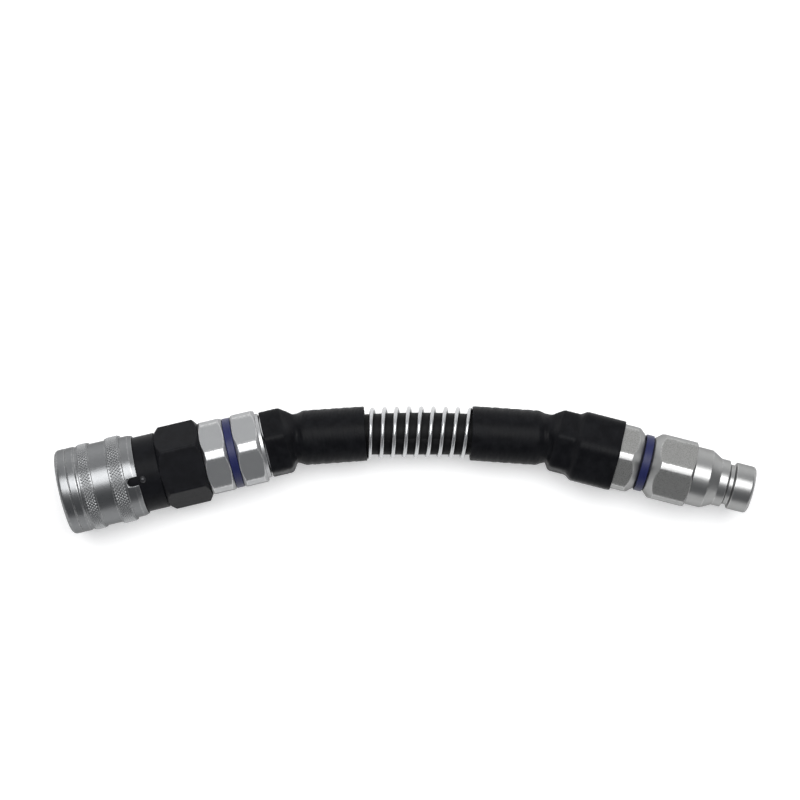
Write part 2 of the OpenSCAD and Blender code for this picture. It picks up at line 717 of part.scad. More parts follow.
module adapter_seal() {
    color("#202020") coupler_frame()
        wire_ring(body_port_r + small_seal_r + running_gap, small_seal_r,
            coupler_length - small_seal_r - face_gap);
}

// Adapter between the coupler and the hose

module hex_adapter() {
    middle = coupler_length + adapter_hex_length / 2;
    half_band = band_width / 2 + face_gap;
    flank = 2.6;
    stub_end = coupler_nut_end - nut_lip - stem_flange_length - 2 * face_gap;
    color("#a9abae") coupler_frame() difference() {
        union() {
            bar(body_port_r - thread_gap, adapter_stub_start, coupler_length + eps);
            hex_bar(adapter_af, adapter_turned_r, coupler_length, adapter_hex_end, adapter_chamfer,
                adapter_chamfer, adapter_turn);
            bar(adapter_collar_r, adapter_hex_end - eps, adapter_end);
            bar(joint_thread_r, adapter_end - eps, stub_end);
        }
        rotate_extrude() polygon([
            [adapter_groove_r, middle - half_band], [adapter_groove_r, middle + half_band],
            [adapter_groove_r + 1, middle + half_band],
            [adapter_turned_r + 1, middle + half_band + flank],
            [adapter_turned_r + 1, middle - half_band - flank],
            [adapter_groove_r + 1, middle - half_band]
        ]);
        bar(adapter_bore_r, adapter_stub_start - 1, stub_end + 1);
        face_seal_groove(stub_end);
    }
}

// Groove in the flat end of a threaded stub, open towards the hose
module face_seal_groove(level) {
    tube(face_seal_r + face_seal_groove_half, face_seal_r - face_seal_groove_half,
        level - 2 * face_seal_wire_r - running_gap, level + 1);
}

module face_seal(level) {
    wire_ring(face_seal_r, face_seal_wire_r, level - face_seal_wire_r);
}

module adapter_band() {
    middle = coupler_length + adapter_hex_length / 2;
    color("#26306a") coupler_frame()
        tube(adapter_groove_r + bond_gap + band_wall, adapter_groove_r + bond_gap, middle - band_width / 2,
            middle + band_width / 2);
}

module coupler_face_seal() {
    color("#202020") coupler_frame()
        face_seal(coupler_nut_end - nut_lip - stem_flange_length - 2 * face_gap);
}

// Swivel nut with its lip towards the hose
module swivel_nut(af, low) {
    high = low + nut_length;
    difference() {
        hex_bar(af, af / 2 / cos(30) - corner_relief, low, high, nut_chamfer, nut_chamfer);
        bar(joint_thread_r + thread_gap, low - 1, high - nut_lip);
        bar(nut_lip_bore_r, low - 1, high + 1);
    }
}

module coupler_swivel_nut() {
    color("#a9abae") coupler_frame() swivel_nut(coupler_nut_af, coupler_nut_start);
}

// Hose stem with its bend at the origin, the hose towards +Z and the nut towards -Z
module hose_stem(bend) {
    elbow_r = stem_neck_r + 0.3;
    stem_shoulder = 0.4;
    flange_low = -nut_to_bend - nut_lip - face_gap - stem_flange_length;
    hook_end = neck_reach + ferrule_hook_length + 0.5;
    collar_r = hose_r - 0.7;
    tail_start = hook_end + 2;
    tail_end = stem_reach - 1.5;
    barbs = 5;
    barb_depth = 0.4;
    barb_gap = 1.2;
    barb_step = (tail_end - tail_start) / barbs;
    difference() {
        union() {
            rotate([bend, 0, 0]) {
                bar(stem_flange_r, flange_low, flange_low + stem_flange_length);
                bar(stem_neck_r, flange_low + stem_flange_length - eps, 0);
            }
            intersection() {
                sphere(r = elbow_r);
                bar(elbow_r + 1, -elbow_r, neck_reach);
            }
            bar(stem_neck_r, 0, neck_reach + stem_shoulder);
            bar(ferrule_hook_r, neck_reach, hook_end + eps);
            bar(collar_r, hook_end, tail_start + eps);
            bar(stem_tail_r, tail_start, tail_end);
        }
        rotate([bend, 0, 0]) bar(stem_bore_r, flange_low - 1, 0);
        sphere(r = stem_bore_r + 0.2);
        bar(stem_bore_r, 0, tail_end + 1);
        for (i = [1:barbs - 1])
            tube(stem_tail_r + 1, stem_tail_r - barb_depth, tail_start + i * barb_step,
                tail_start + i * barb_step + barb_gap);
    }
}

module coupler_hose_stem() {
    color("#a9abae") coupler_stem_frame() hose_stem(-coupler_bend);
}

// Ferrule in the frame of its stem, crimped over the hose
module ferrule() {
    low = neck_reach + 0.5;
    high = stem_reach;
    margin = 2;
    outer_chamfer = 1.2;
    inner_chamfer = 0.8;
    crimp_step = (high - low - 2 * margin) / crimp_count;
    crimp_width = crimp_step * 0.45;
    difference() {
        rotate_extrude() polygon([
            [0, low], [ferrule_r - outer_chamfer, low], [ferrule_r, low + outer_chamfer],
            [ferrule_r, high - inner_chamfer], [ferrule_r - inner_chamfer, high], [0, high]
        ]);
        bar(ferrule_hook_r + running_gap, low - 1, low + ferrule_hook_length + eps);
        bar(hose_r + bond_gap, low + ferrule_hook_length - face_gap, high + 1);
        for (i = [0:crimp_count - 1])
            translate([0, 0, low + margin + (i + 0.5) * crimp_step])
                tube(ferrule_r + 1, ferrule_r - crimp_depth, -crimp_width / 2, crimp_width / 2);
    }
}

module coupler_ferrule() {
    color("#a9abae") coupler_stem_frame() ferrule();
}

// Heat shrink

// Space that a shrunk sleeve fills round a ferrule and the end of the guard, grown outwards by a wall
module shrink_hose_end(neck_r, over_ferrule_r, over_guard_r, lap, over) {
    low = neck_reach - 0.2 - over;
    bar(neck_r, -1, low + eps);
    taper(neck_r, over_ferrule_r, low, low + 1 + 2 * over);
    bar(over_ferrule_r, low + 1 + 2 * over - eps, stem_reach + 0.2);
    bar(over_guard_r, stem_reach + 0.2 - eps, stem_reach + lap);
}

module coupler_heat_shrink() {
    wall = coupler_shrink_wall;
    start = coupler_nut_start - coupler_bend_at + shrink_step;
    nut_end = -nut_to_bend;
    nut_turned_r = coupler_nut_af / 2 / cos(30) - corner_relief;
    color("#232326") coupler_stem_frame() difference() {
        union() {
            rotate([-coupler_bend, 0, 0]) {
                hex_bar(coupler_nut_af + 2 * wall, nut_turned_r + wall, start, nut_end + shrink_step,
                    shrink_edge, shrink_hex_chamfer);
                taper(coupler_nut_af / 2 + 0.4, shrink_neck_r - 0.1, nut_end + shrink_step - 0.1, -0.4);
            }
            sphere(r = shrink_neck_r + 0.3);
            shrink_hose_end(shrink_neck_r, shrink_ferrule_r, shrink_ferrule_r, coupler_shrink_lap,
                shrink_step);
        }
        rotate([-coupler_bend, 0, 0]) {
            hex_bar(coupler_nut_af + 2 * bond_gap, nut_turned_r + bond_gap, start - 2, nut_end + bond_gap,
                0.1, nut_chamfer);
            bar(shrink_neck_bore_r, nut_end - 1, 0);
        }
        sphere(r = shrink_neck_bore_r + 0.3);
        shrink_hose_end(shrink_neck_bore_r, ferrule_r + bond_gap, shrink_guard_r, coupler_shrink_lap + 1, 0);
    }
}

module plug_heat_shrink() {
    wall = plug_shrink_wall;
    nut_wall = coupler_shrink_wall;
    hex_start = -plug_bend_at + plug_length - plug_hex_lap;
    hex_end = -plug_bend_at + plug_adapter_end;
    nut_end = -nut_to_bend;
    nut_turned_r = plug_nut_af / 2 / cos(30) - corner_relief;
    color("#232326") plug_stem_frame() difference() {
        union() {
            rotate([plug_bend, 0, 0]) {
                hex_bar(plug_af + 2 * wall, plug_turned_r + wall, hex_start, hex_end + nut_wall,
                    shrink_edge, shrink_hex_chamfer, plug_turn);
                hex_bar(plug_nut_af + 2 * nut_wall, nut_turned_r + nut_wall, hex_end, nut_end + shrink_step,
                    shrink_edge, shrink_hex_chamfer);
                taper(plug_nut_af / 2 + 0.4, shrink_neck_r - 0.1, nut_end + shrink_step - 0.1, -0.4);
            }
            sphere(r = shrink_neck_r + 0.3);
            shrink_hose_end(shrink_neck_r, shrink_ferrule_r, shrink_ferrule_r, plug_shrink_lap, shrink_step);
        }
        rotate([plug_bend, 0, 0]) {
            hex_bar(plug_af + 2 * bond_gap, plug_turned_r + bond_gap, hex_start - 2, hex_end + bond_gap,
                0.1, 1, plug_turn);
            hex_bar(plug_nut_af + 2 * bond_gap, nut_turned_r + bond_gap, hex_end - 1, nut_end + bond_gap,
                0.1, nut_chamfer);
            bar(shrink_neck_bore_r, nut_end - 1, 0);
        }
        sphere(r = shrink_neck_bore_r + 0.3);
        shrink_hose_end(shrink_neck_bore_r, ferrule_r + bond_gap, shrink_guard_r, plug_shrink_lap + 1, 0);
    }
}

// Hose

// One layer of the hose: an arc between the ferrules and a straight end, squeezed a little, in each ferrule
module hose_layer(outer_r, inner_r) {
    squeeze = 0.03;
    overlap = 0.3;
    start = neck_reach + ferrule_hook_length + 2.7;
    coupler_stem_frame() tube(outer_r - squeeze, inner_r + squeeze, start, stem_reach + overlap);
    plug_stem_frame() tube(outer_r - squeeze, inner_r + squeeze, start, stem_reach + overlap);
    resting() translate([0, -arc_r, 0]) rotate([0, 0, 90 - half_arc]) rotate_extrude(angle = hose_arc_angle)
        translate([arc_r, 0]) difference() {
            circle(r = outer_r);
            circle(r = inner_r);
        }
}

module hose_liner() {
    color("#101010") hose_layer(liner_r, hose_bore_r);
}

module hose_braid() {
    color("#8d8a80") hose_layer(braid_r, braid_bore_r);
}

module hose_cover() {
    color("#151516") hose_layer(hose_r, cover_bore_r);
}

module spring_guard() {
    reach = hose_free_length / 2 - guard_wire_r - 0.4;
    turns = floor(2 * reach / guard_pitch * guard_rings) / guard_rings;
    color("#cfd1d3") on_line([0, 0], 0)
        coil("spring_guard", -reach, reach, turns, guard_outer_r - guard_wire_r, guard_wire_r, guard_rings,
            arc_r, guard_start);
}

// Plug end of the hose

module plug_ferrule() {
    color("#a9abae") plug_stem_frame() ferrule();
}

module plug_hose_stem() {
    color("#a9abae") plug_stem_frame() hose_stem(plug_bend);
}

module plug_swivel_nut() {
    color("#a9abae") plug_frame() swivel_nut(plug_nut_af, plug_nut_start);
}

module plug_face_seal() {
    color("#202020") plug_frame() face_seal(plug_nut_end - nut_lip - stem_flange_length - 2 * face_gap);
}

module plug_adapter() {
    stub_end = plug_nut_end - nut_lip - stem_flange_length - 2 * face_gap;
    color("#a9abae") plug_frame() difference() {
        union() {
            bar(plug_port_r - thread_gap, plug_port_start + 2, plug_length + eps);
            hex_bar(plug_af, plug_turned_r, plug_length, plug_adapter_end, 0.4, 1, plug_turn);
            bar(joint_thread_r, plug_adapter_end - eps, stub_end);
        }
        bar(adapter_bore_r, plug_port_start, stub_end + 1);
        face_seal_groove(stub_end);
    }
}

module plug_adapter_seal() {
    color("#202020") plug_frame()
        wire_ring(plug_port_r + small_seal_r + running_gap, small_seal_r,
            plug_length - small_seal_r - face_gap);
}

module plug_body() {
    groove_flank = 1;
    half_band = band_width / 2 + face_gap;
    flank_rise = plug_turned_r + 1 - plug_groove_r;
    flank_run = flank_rise / tan(plug_groove_flank);
    cavity_start = poppet_land + cavity_r - nose_bore_r;
    color("#a9abae") plug_frame() difference() {
        union() {
            rotate_extrude() difference() {
                polygon([
                    [0, 0], [nose_r, 0], [nose_r, nose_length], [ball_groove_r, nose_length + groove_flank],
                    [ball_groove_r, groove_end - groove_flank], [nose_r, groove_end],
                    [nose_r, nose_collar_end], [shank_r, nose_cone_end], [shank_r, shank_end + eps],
                    [0, shank_end + eps]
                ]);
                difference() {
                    translate([nose_r - nose_edge_r, -1]) square([nose_edge_r + 1, nose_edge_r + 1]);
                    translate([nose_r - nose_edge_r, nose_edge_r]) circle(r = nose_edge_r);
                }
            }
            hex_bar(plug_af, plug_turned_r, shank_end, plug_length, 1.2, 0.4, plug_turn);
        }
        rotate_extrude() polygon([
            [plug_groove_r, plug_band_at - half_band], [plug_groove_r, plug_band_at + half_band],
            [plug_groove_r + flank_rise, plug_band_at + half_band + flank_run],
            [plug_groove_r + flank_rise, plug_band_at - half_band - flank_run]
        ]);
        bar(nose_bore_r, -1, poppet_land + eps);
        taper(nose_bore_r, cavity_r, poppet_land, cavity_start);
        bar(cavity_r, cavity_start - eps, guide_seat + eps);
        bar(guide_r, guide_seat, plug_port_start + eps);
        tube(guide_r + guide_ring_depth, 1, guide_seat + guide_length + face_gap,
            guide_seat + guide_length + guide_ring_length + 3 * face_gap);
        bar(plug_port_r, plug_port_start, plug_length + 1);
        bar(plug_port_r + seal_pocket_depth, plug_length - seal_pocket_depth, plug_length + 1);
    }
}

module plug_band() {
    color("#26306a") plug_frame()
        tube(plug_groove_r + bond_gap + band_wall, plug_groove_r + bond_gap, plug_band_at - band_width / 2,
            plug_band_at + band_width / 2);
}

module plug_poppet() {
    groove_half = small_seal_r + face_gap;
    groove_r = poppet_r - 2 * small_seal_r - running_gap;
    color("silver") plug_frame() rotate_extrude() polygon([
        [0, 0], [poppet_r - edge_chamfer, 0], [poppet_r, edge_chamfer],
        [poppet_r, poppet_seal_at - groove_half],
        [groove_r, poppet_seal_at - groove_half], [groove_r, poppet_seal_at + groove_half],
        [poppet_r, poppet_seal_at + groove_half], [poppet_r, poppet_seat],
        [poppet_flange_r, poppet_flange_end - poppet_flange_length],
        [poppet_flange_r, poppet_flange_end], [poppet_rod_r, poppet_flange_end],
        [poppet_rod_r, poppet_rod_end], [0, poppet_rod_end]
    ]);
}

module plug_poppet_seal() {
    color("#202020") plug_frame() wire_ring(poppet_r - small_seal_r, small_seal_r, poppet_seal_at);
}

module plug_valve_spring() {
    low = poppet_flange_end + poppet_wire_r + face_gap;
    high = guide_seat - poppet_wire_r - face_gap;
    color("silver") plug_frame()
        coil("plug_valve_spring", low, high, poppet_spring_turns, poppet_coil_r, poppet_wire_r);
}

module plug_valve_guide() {
    holes = 4;
    hole_r = 2;
    color("silver") plug_frame() difference() {
        bar(guide_r - thread_gap, guide_seat, guide_seat + guide_length);
        bar(poppet_rod_r + running_gap, guide_seat - 1, guide_seat + guide_length + 1);
        for (i = [0:holes - 1])
            rotate([0, 0, 45 + i * 360 / holes])
                translate([guide_hole_circle_r, 0, guide_seat - 1])
                    cylinder(r = hole_r, h = guide_length + 2);
    }
}

module plug_guide_ring() {
    ring_gap = 5;
    low = guide_seat + guide_length + 2 * face_gap;
    color("dimgray") plug_frame() difference() {
        tube(guide_r + guide_ring_depth - running_gap, guide_r - 1.6, low, low + guide_ring_length);
        translate([0, -ring_gap / 2, low - 1]) cube([guide_r + 2, ring_gap, guide_ring_length + 2]);
    }
}

coupler_body();
locking_balls();
sleeve_lock_ball();
sleeve_stop_ring();
locking_sleeve();
sleeve_thrust_ring();
sleeve_spring();
valve_sleeve();
valve_sleeve_spring();
valve_stem();
valve_stem_seal();
socket_nose_seal();
adapter_seal();
hex_adapter();
adapter_band();
coupler_face_seal();
coupler_swivel_nut();
coupler_hose_stem();
coupler_ferrule();
coupler_heat_shrink();
hose_liner();
hose_braid();
hose_cover();
spring_guard();
plug_heat_shrink();
plug_ferrule();
plug_hose_stem();
plug_swivel_nut();
plug_face_seal();
plug_adapter();
plug_adapter_seal();
plug_body();
plug_band();
plug_poppet();
plug_poppet_seal();
plug_valve_spring();
plug_valve_guide();
plug_guide_ring();
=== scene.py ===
"""Hydraulic jumper hose with flat-face couplers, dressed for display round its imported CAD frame."""

from __future__ import annotations

import functools
import json
import logging
import math
from collections.abc import Callable, Sequence
from dataclasses import dataclass, field
from enum import Enum
from typing import Protocol

import bpy
import numpy as np
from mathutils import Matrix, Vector

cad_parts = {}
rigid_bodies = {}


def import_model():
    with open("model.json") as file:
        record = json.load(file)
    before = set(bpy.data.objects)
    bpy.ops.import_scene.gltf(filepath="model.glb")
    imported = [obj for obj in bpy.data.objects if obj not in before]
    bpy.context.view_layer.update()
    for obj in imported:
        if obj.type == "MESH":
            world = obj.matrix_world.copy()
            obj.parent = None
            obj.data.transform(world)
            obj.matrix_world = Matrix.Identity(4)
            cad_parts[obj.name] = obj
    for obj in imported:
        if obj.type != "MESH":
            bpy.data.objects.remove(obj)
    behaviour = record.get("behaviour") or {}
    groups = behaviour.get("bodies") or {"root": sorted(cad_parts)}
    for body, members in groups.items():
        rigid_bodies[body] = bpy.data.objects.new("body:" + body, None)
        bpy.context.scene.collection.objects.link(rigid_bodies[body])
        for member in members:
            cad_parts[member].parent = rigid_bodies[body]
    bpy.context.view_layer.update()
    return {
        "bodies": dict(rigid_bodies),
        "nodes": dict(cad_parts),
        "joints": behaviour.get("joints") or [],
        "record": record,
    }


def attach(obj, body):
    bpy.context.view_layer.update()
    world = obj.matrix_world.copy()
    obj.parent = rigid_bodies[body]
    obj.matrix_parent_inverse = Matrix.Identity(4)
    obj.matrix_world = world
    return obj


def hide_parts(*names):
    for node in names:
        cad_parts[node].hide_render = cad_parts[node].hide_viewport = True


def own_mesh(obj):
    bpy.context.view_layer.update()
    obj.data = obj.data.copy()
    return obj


LOG = logging.getLogger("jumper_hose")
MM = 0.001
# Levels closer than this are one level.
TOUCH = 1e-7
# A corner whose sides lie straighter than this keeps its single row.
STRAIGHT = math.cos(math.radians(12))
# A rounding takes at most this share of a side, and its support rows lie this many cuts away.
CORNER_SHARE = 0.3
SUPPORT = 1.5
BAND_HALF = 2.2 * MM
BAND_WALL = 1.3 * MM
BAND_BOND = 0.05 * MM
Colour = tuple[float, float, float]
Profile = list[tuple[float, float]]
# Scale of soft clouds, and the two values between which they go from 0 to 1.
Clouds = tuple[float, float, float]
Array = np.ndarray
Socket = bpy.types.NodeSocket
Sockets = bpy.types.NodeOutputs
Tree = bpy.types.NodeTree
Piece = bpy.types.Object
Material = bpy.types.Material


class Body(Enum):
    """The bodies that the visual pieces ride on."""

    ASSEMBLY = "hose_assembly"
    SLEEVE = "locking_sleeve"


class Slot(Enum):
    """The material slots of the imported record."""

    BLACK_BODY = "black_body"
    TURNED_STEEL = "turned_steel"
    PLUG_STEEL = "plug_steel"
    BALL_STEEL = "ball_steel"
    DARK_BALL = "dark_ball"
    SPRING_STEEL = "spring_steel"
    GUARD_WIRE = "guard_wire"
    SEAL_RUBBER = "seal_rubber"
    HEAT_SHRINK = "heat_shrink"
    BAND = "band"
    HOSE_TUBE = "hose_tube"
    HOSE_BRAID = "hose_braid"
    HOSE_COVER = "hose_cover"


# Centre lines


class Line(Protocol):
    """Anything that points can be set round, by distance along it, radius and angle."""

    def place(self, along: Array, radius: Array, angle: Array) -> Array:
        """Turns distances, radii and angles into points.

        Args:
            along: Distances along the line, in metres.
            radius: Distances from the line, in metres.
            angle: Angles round the line in radians, from straight down.

        Returns:
            Points with a last axis of three.
        """


def around(centre: Array, ahead: Array, normal: Array, radius: Array, angle: Array) -> Array:
    """Sets points round places on a line.

    Args:
        centre: The places.
        ahead: Direction of the line, one or one for each place.
        normal: Upward normal of the line's plane.
        radius: Distances from the line.
        angle: Angles in radians, from straight down.

    Returns:
        The points.
    """
    down = -normal
    side = np.cross(ahead, down)
    return centre + (radius * np.cos(angle))[..., None] * down + (radius * np.sin(angle))[..., None] * side


@dataclass(frozen=True)
class StraightLine:
    """A straight axis with a fixed direction that counts as down."""

    origin: Array
    ahead: Array
    normal: Array

    def place(self, along: Array, radius: Array, angle: Array) -> Array:
        """Turns distances, radii and angles into points, as Line says."""
        along, radius, angle = np.broadcast_arrays(along, radius, angle)
        return around(self.origin + along[..., None] * self.ahead, self.ahead, self.normal, radius, angle)


@dataclass(frozen=True)
class LineSizes:
    """Lengths of the centre line's runs and the headings they have, from the coupler's face to the tip."""

    coupler_run: float = 133.5 * MM
    stem_run: float = 37 * MM
    hose_run: float = 73 * MM
    plug_run: float = 118.4 * MM
    coupler_heading: float = 13.5
    stem_heading: float = 4.0
    plug_heading: float = -14.6
    elbow_half: float = 3 * MM
    step: float = 0.25 * MM

    @property
    def total(self) -> float:
        """Length of the whole line in metres."""
        return self.coupler_run + 2 * self.stem_run + self.hose_run + self.plug_run

    @property
    def hose_middle(self) -> float:
        """Distance from the face to the middle of the bare hose."""
        return self.coupler_run + self.stem_run + self.hose_run / 2

    def headings(self, along: Array) -> Array:
        """Heading of the line in its plane at each distance, in radians.

        Args:
            along: Distances from the coupler's face.

        Returns:
            Headings, one for each distance.
        """
        first_bend = self.coupler_run
        hose_start = first_bend + self.stem_run
        hose_end = hose_start + self.hose_run
        last_bend = hose_end + self.stem_run
        half = self.elbow_half
        knots = (0, first_bend - half, first_bend + half, hose_start, hose_end, last_bend - half, last_bend + half)
        first, stem = self.coupler_heading, self.stem_heading
        values = (first, first, stem, stem, -stem, -stem, self.plug_heading)
        return np.radians(np.interp(along, knots, values))


class BentLine:
    """The bent centre line that the hose, its guard and the heat shrink follow, lying in one plane."""

    def __init__(self, face: Array, ahead: Array, normal: Array, sizes: LineSizes) -> None:
        """Tabulates the line.

        Args:
            face: Centre of the coupler's front face.
            ahead: Direction from the face into the coupler.
            normal: Normal of the line's plane, upwards.
            sizes: Runs and headings.
        """
        self.normal = normal
        self.steps = np.arange(0, sizes.total + sizes.step, sizes.step)
        turn = sizes.headings(self.steps) - math.radians(sizes.coupler_heading)
        across = np.cross(normal, ahead)
        self.heads = np.cos(turn)[:, None] * ahead + np.sin(turn)[:, None] * across
        middle = (self.heads[1:] + self.heads[:-1]) / 2 * sizes.step
        self.centres = face + np.vstack([np.zeros(3), np.cumsum(middle, axis=0)])

    def _sample(self, table: Array, along: Array) -> Array:
        """Reads a table of vectors at any distances along the line."""
        return np.stack([np.interp(along, self.steps, table[:, i]) for i in range(3)], axis=-1)

    def place(self, along: Array, radius: Array, angle: Array) -> Array:
        """Turns distances, radii and angles into points, as Line says."""
        along, radius, angle = np.broadcast_arrays(along, radius, angle)
        centre = self._sample(self.centres, along)
        head = self._sample(self.heads, along)
        head /= np.linalg.norm(head, axis=-1, keepdims=True)
        return around(centre, head, self.normal, radius, angle)


# Meshes


def add_object(name: str, data: bpy.types.ID) -> Piece:
    """Makes an object for some data and links it to the scene."""
    made = bpy.data.objects.new(name, data)
    bpy.context.scene.collection.objects.link(made)
    return made


def grid_object(
    name: str, points: Array, closed: bool, along: Array, girth: float, masks: dict[str, Array]
) -> Piece:
    """Makes a mesh from rows of points that each go once round.

    Args:
        name: Name of the object.
        points: Rows by columns by three coordinates.
        closed: Whether the last row joins the first.
        along: Length along the surface at each row, and at the closing row if there is one.
        girth: Length of one turn, for the map.
        masks: Values for each point, by attribute name.

    Returns:
        The object, linked to the scene, with its faces outwards.
    """
    rows, columns = points.shape[:2]
    index = np.arange(rows * columns).reshape(rows, columns)
    last = rows if closed else rows - 1
    upper = np.roll(index, -1, axis=0)[:last]
    lower = index[:last]
    quads = np.stack([lower, np.roll(lower, -1, axis=1), np.roll(upper, -1, axis=1), upper], axis=-1).reshape(-1, 4)
    flat = points.reshape(-1, 3)
    first, second, third, fourth = (flat[quads[:, i]] - flat.mean(axis=0) for i in range(4))
    volume = np.einsum("ij,ij->", first, np.cross(second, third)) + np.einsum("ij,ij->", first, np.cross(third, fourth))
    turns = np.arange(columns + 1) / columns * girth
    u = np.broadcast_to(turns[None, :], (last, columns + 1))
    low_v, high_v = (v[:, None] + 0 * u[:, 1:] for v in (along[:last], along[1 : last + 1]))
    corner_u = np.stack([u[:, :-1], u[:, 1:], u[:, 1:], u[:, :-1]], axis=-1)
    corner_v = np.stack([low_v, low_v, high_v, high_v], axis=-1)
    corners = np.stack([corner_u, corner_v], axis=-1).reshape(-1, 4, 2)
    if volume < 0:
        quads, corners = quads[:, ::-1], corners[:, ::-1]
    mesh = bpy.data.meshes.new(name)
    mesh.vertices.add(len(flat))
    mesh.vertices.foreach_set("co", flat.astype(np.float32).ravel())
    mesh.loops.add(quads.size)
    mesh.loops.foreach_set("vertex_index", quads.astype(np.int32).ravel())
    mesh.polygons.add(len(quads))
    mesh.polygons.foreach_set("loop_start", np.arange(0, quads.size, 4, dtype=np.int32))
    mesh.update(calc_edges=True)
    mesh.polygons.foreach_set("use_smooth", np.ones(len(quads), dtype=bool))
    layer = mesh.uv_layers.new(name="UVMap")
    layer.data.foreach_set("uv", corners.astype(np.float32).ravel())
    for key, values in masks.items():
        attribute = mesh.attributes.new(key, "FLOAT", "POINT")
        attribute.data.foreach_set("value", np.broadcast_to(values, (rows, columns)).astype(np.float32).ravel())
    return add_object(name, mesh)


@dataclass(frozen=True)
class Hexagon:
    """Flats that cut a turned shape over part of its length."""

    flats: float
    low: float
    high: float
    phase: float = 0.0
    blend: float = 0.2 * MM

    def cut(self, along: Array, radius: Array, angle: Array) -> tuple[Array, Array, Array]:
        """Cuts rows of a turned shape with the flats.

        Args:
            along: Column of distances.
            radius: Column of radii.
            angle: Row of angles in radians.

        Returns:
            Radii, a mask of what stays turned, and a mask of the crease between flat and turned.
        """
        sector = math.pi / 3
        offset = np.mod(angle - math.radians(self.phase), sector) - sector / 2
        flat = self.flats / 2 / np.cos(offset) + 0 * radius
        inside = (along > self.low - TOUCH) & (along < self.high + TOUCH)
        turned = radius + 0 * angle
        gap = np.maximum(self.blend - np.abs(flat - turned), 0) / self.blend
        cut = np.minimum(flat, turned) - gap * gap * self.blend / 4
        mask = np.clip(0.5 + (flat - turned) / self.blend, 0, 1)
        near = np.clip(1 - np.abs(flat - turned) / (3 * self.blend), 0, 1)
        keep = ~inside | (turned < self.flats / 2 - self.blend)
        return np.where(keep, turned, cut), np.where(keep, 1.0, mask), np.where(keep, 0.0, near)


def soften(loop: Profile, edge: float) -> tuple[Array, Array, Array]:
    """Rounds the corners of a closed profile and adds a support row each side of every corner.

    Args:
        loop: Corners as distance along and radius, in metres.
        edge: Rounding in metres.

    Returns:
        Distances, radii and a mask that is one on the rounded corners.
    """
    points = np.array(loop)
    out: list[Array] = []
    marks: list[float] = []
    for i, corner in enumerate(points):
        before, after = points[i - 1] - corner, points[(i + 1) % len(points)] - corner
        back, on = np.linalg.norm(before), np.linalg.norm(after)
        before, after = before / back, after / on
        if np.dot(before, after) < -STRAIGHT:
            out.append(corner)
            marks.append(0)
            continue
        cut = min(edge, CORNER_SHARE * back, CORNER_SHARE * on)
        low, high = corner + before * cut, corner + after * cut
        out += [corner + before * SUPPORT * cut, low]
        out += [0.25 * low + 0.5 * corner + 0.25 * high, high, corner + after * SUPPORT * cut]
        marks += [0, 0.6, 1, 0.6, 0]
    rows = np.array(out)
    return rows[:, 0], rows[:, 1], np.array(marks)


@dataclass
class Turning:
    """A piece turned on a lathe, with flats where it has a hexagon."""

    name: str
    line: Line
    loop: Profile
    hexagons: Sequence[Hexagon] = ()
    edge: float = 0.25 * MM
    columns: int = 360
    fine_step: float = 0.25 * MM
    least_run: float = 0.01 * MM

    def _refined(self) -> tuple[Array, Array, Array]:
        """Rounds the profile, then adds rows on the chamfers that cross a hexagon's flats."""
        along, radius, marks = soften(self.loop, self.edge)
        rows: list[tuple[float, float, float]] = []
        for i in range(len(along)):
            j = (i + 1) % len(along)
            rows.append((along[i], radius[i], marks[i]))
            rise = abs(radius[j] - radius[i])
            crosses = any(
                h.low - TOUCH < (along[i] + along[j]) / 2 < h.high + TOUCH and max(radius[i], radius[j]) > h.flats / 2
                for h in self.hexagons
            )
            run = along[j] - along[i]
            if crosses and rise > 2 * self.fine_step and abs(run) > self.least_run:
                count = int(rise / self.fine_step)
                shares = (k / count for k in range(1, count))
                rows += [(along[i] + share * run, radius[i] + share * (radius[j] - radius[i]), 0.0) for share in shares]
        table = np.array(rows)
        return table[:, 0], table[:, 1], table[:, 2]

    def build(self) -> Piece:
        """Builds the closed mesh with its map and its masks of turned surface and edge."""
        along, radius, marks = self._refined()
        angle = np.arange(self.columns) / self.columns * 2 * math.pi
        radii = radius[:, None] + 0 * angle[None, :]
        turned = np.ones_like(radii)
        crease = np.zeros_like(radii)
        for hexagon in self.hexagons:
            cut, mask, near = hexagon.cut(along[:, None], radius[:, None], angle[None, :])
            radii, turned = np.minimum(radii, cut), np.minimum(turned, mask)
            crease = np.maximum(crease, near)
        points = self.line.place(along[:, None], radii, angle[None, :])
        steps = np.hypot(np.diff(along, append=along[0]), np.diff(radius, append=radius[0]))
        lengths = np.concatenate([[0], np.cumsum(steps)])
        girth = 2 * math.pi * float(radius.max())
        edge = np.maximum(marks[:, None] * turned, crease)
        return grid_object(self.name, points, True, lengths, girth, {"turned": turned, "edge": edge})


# Node building


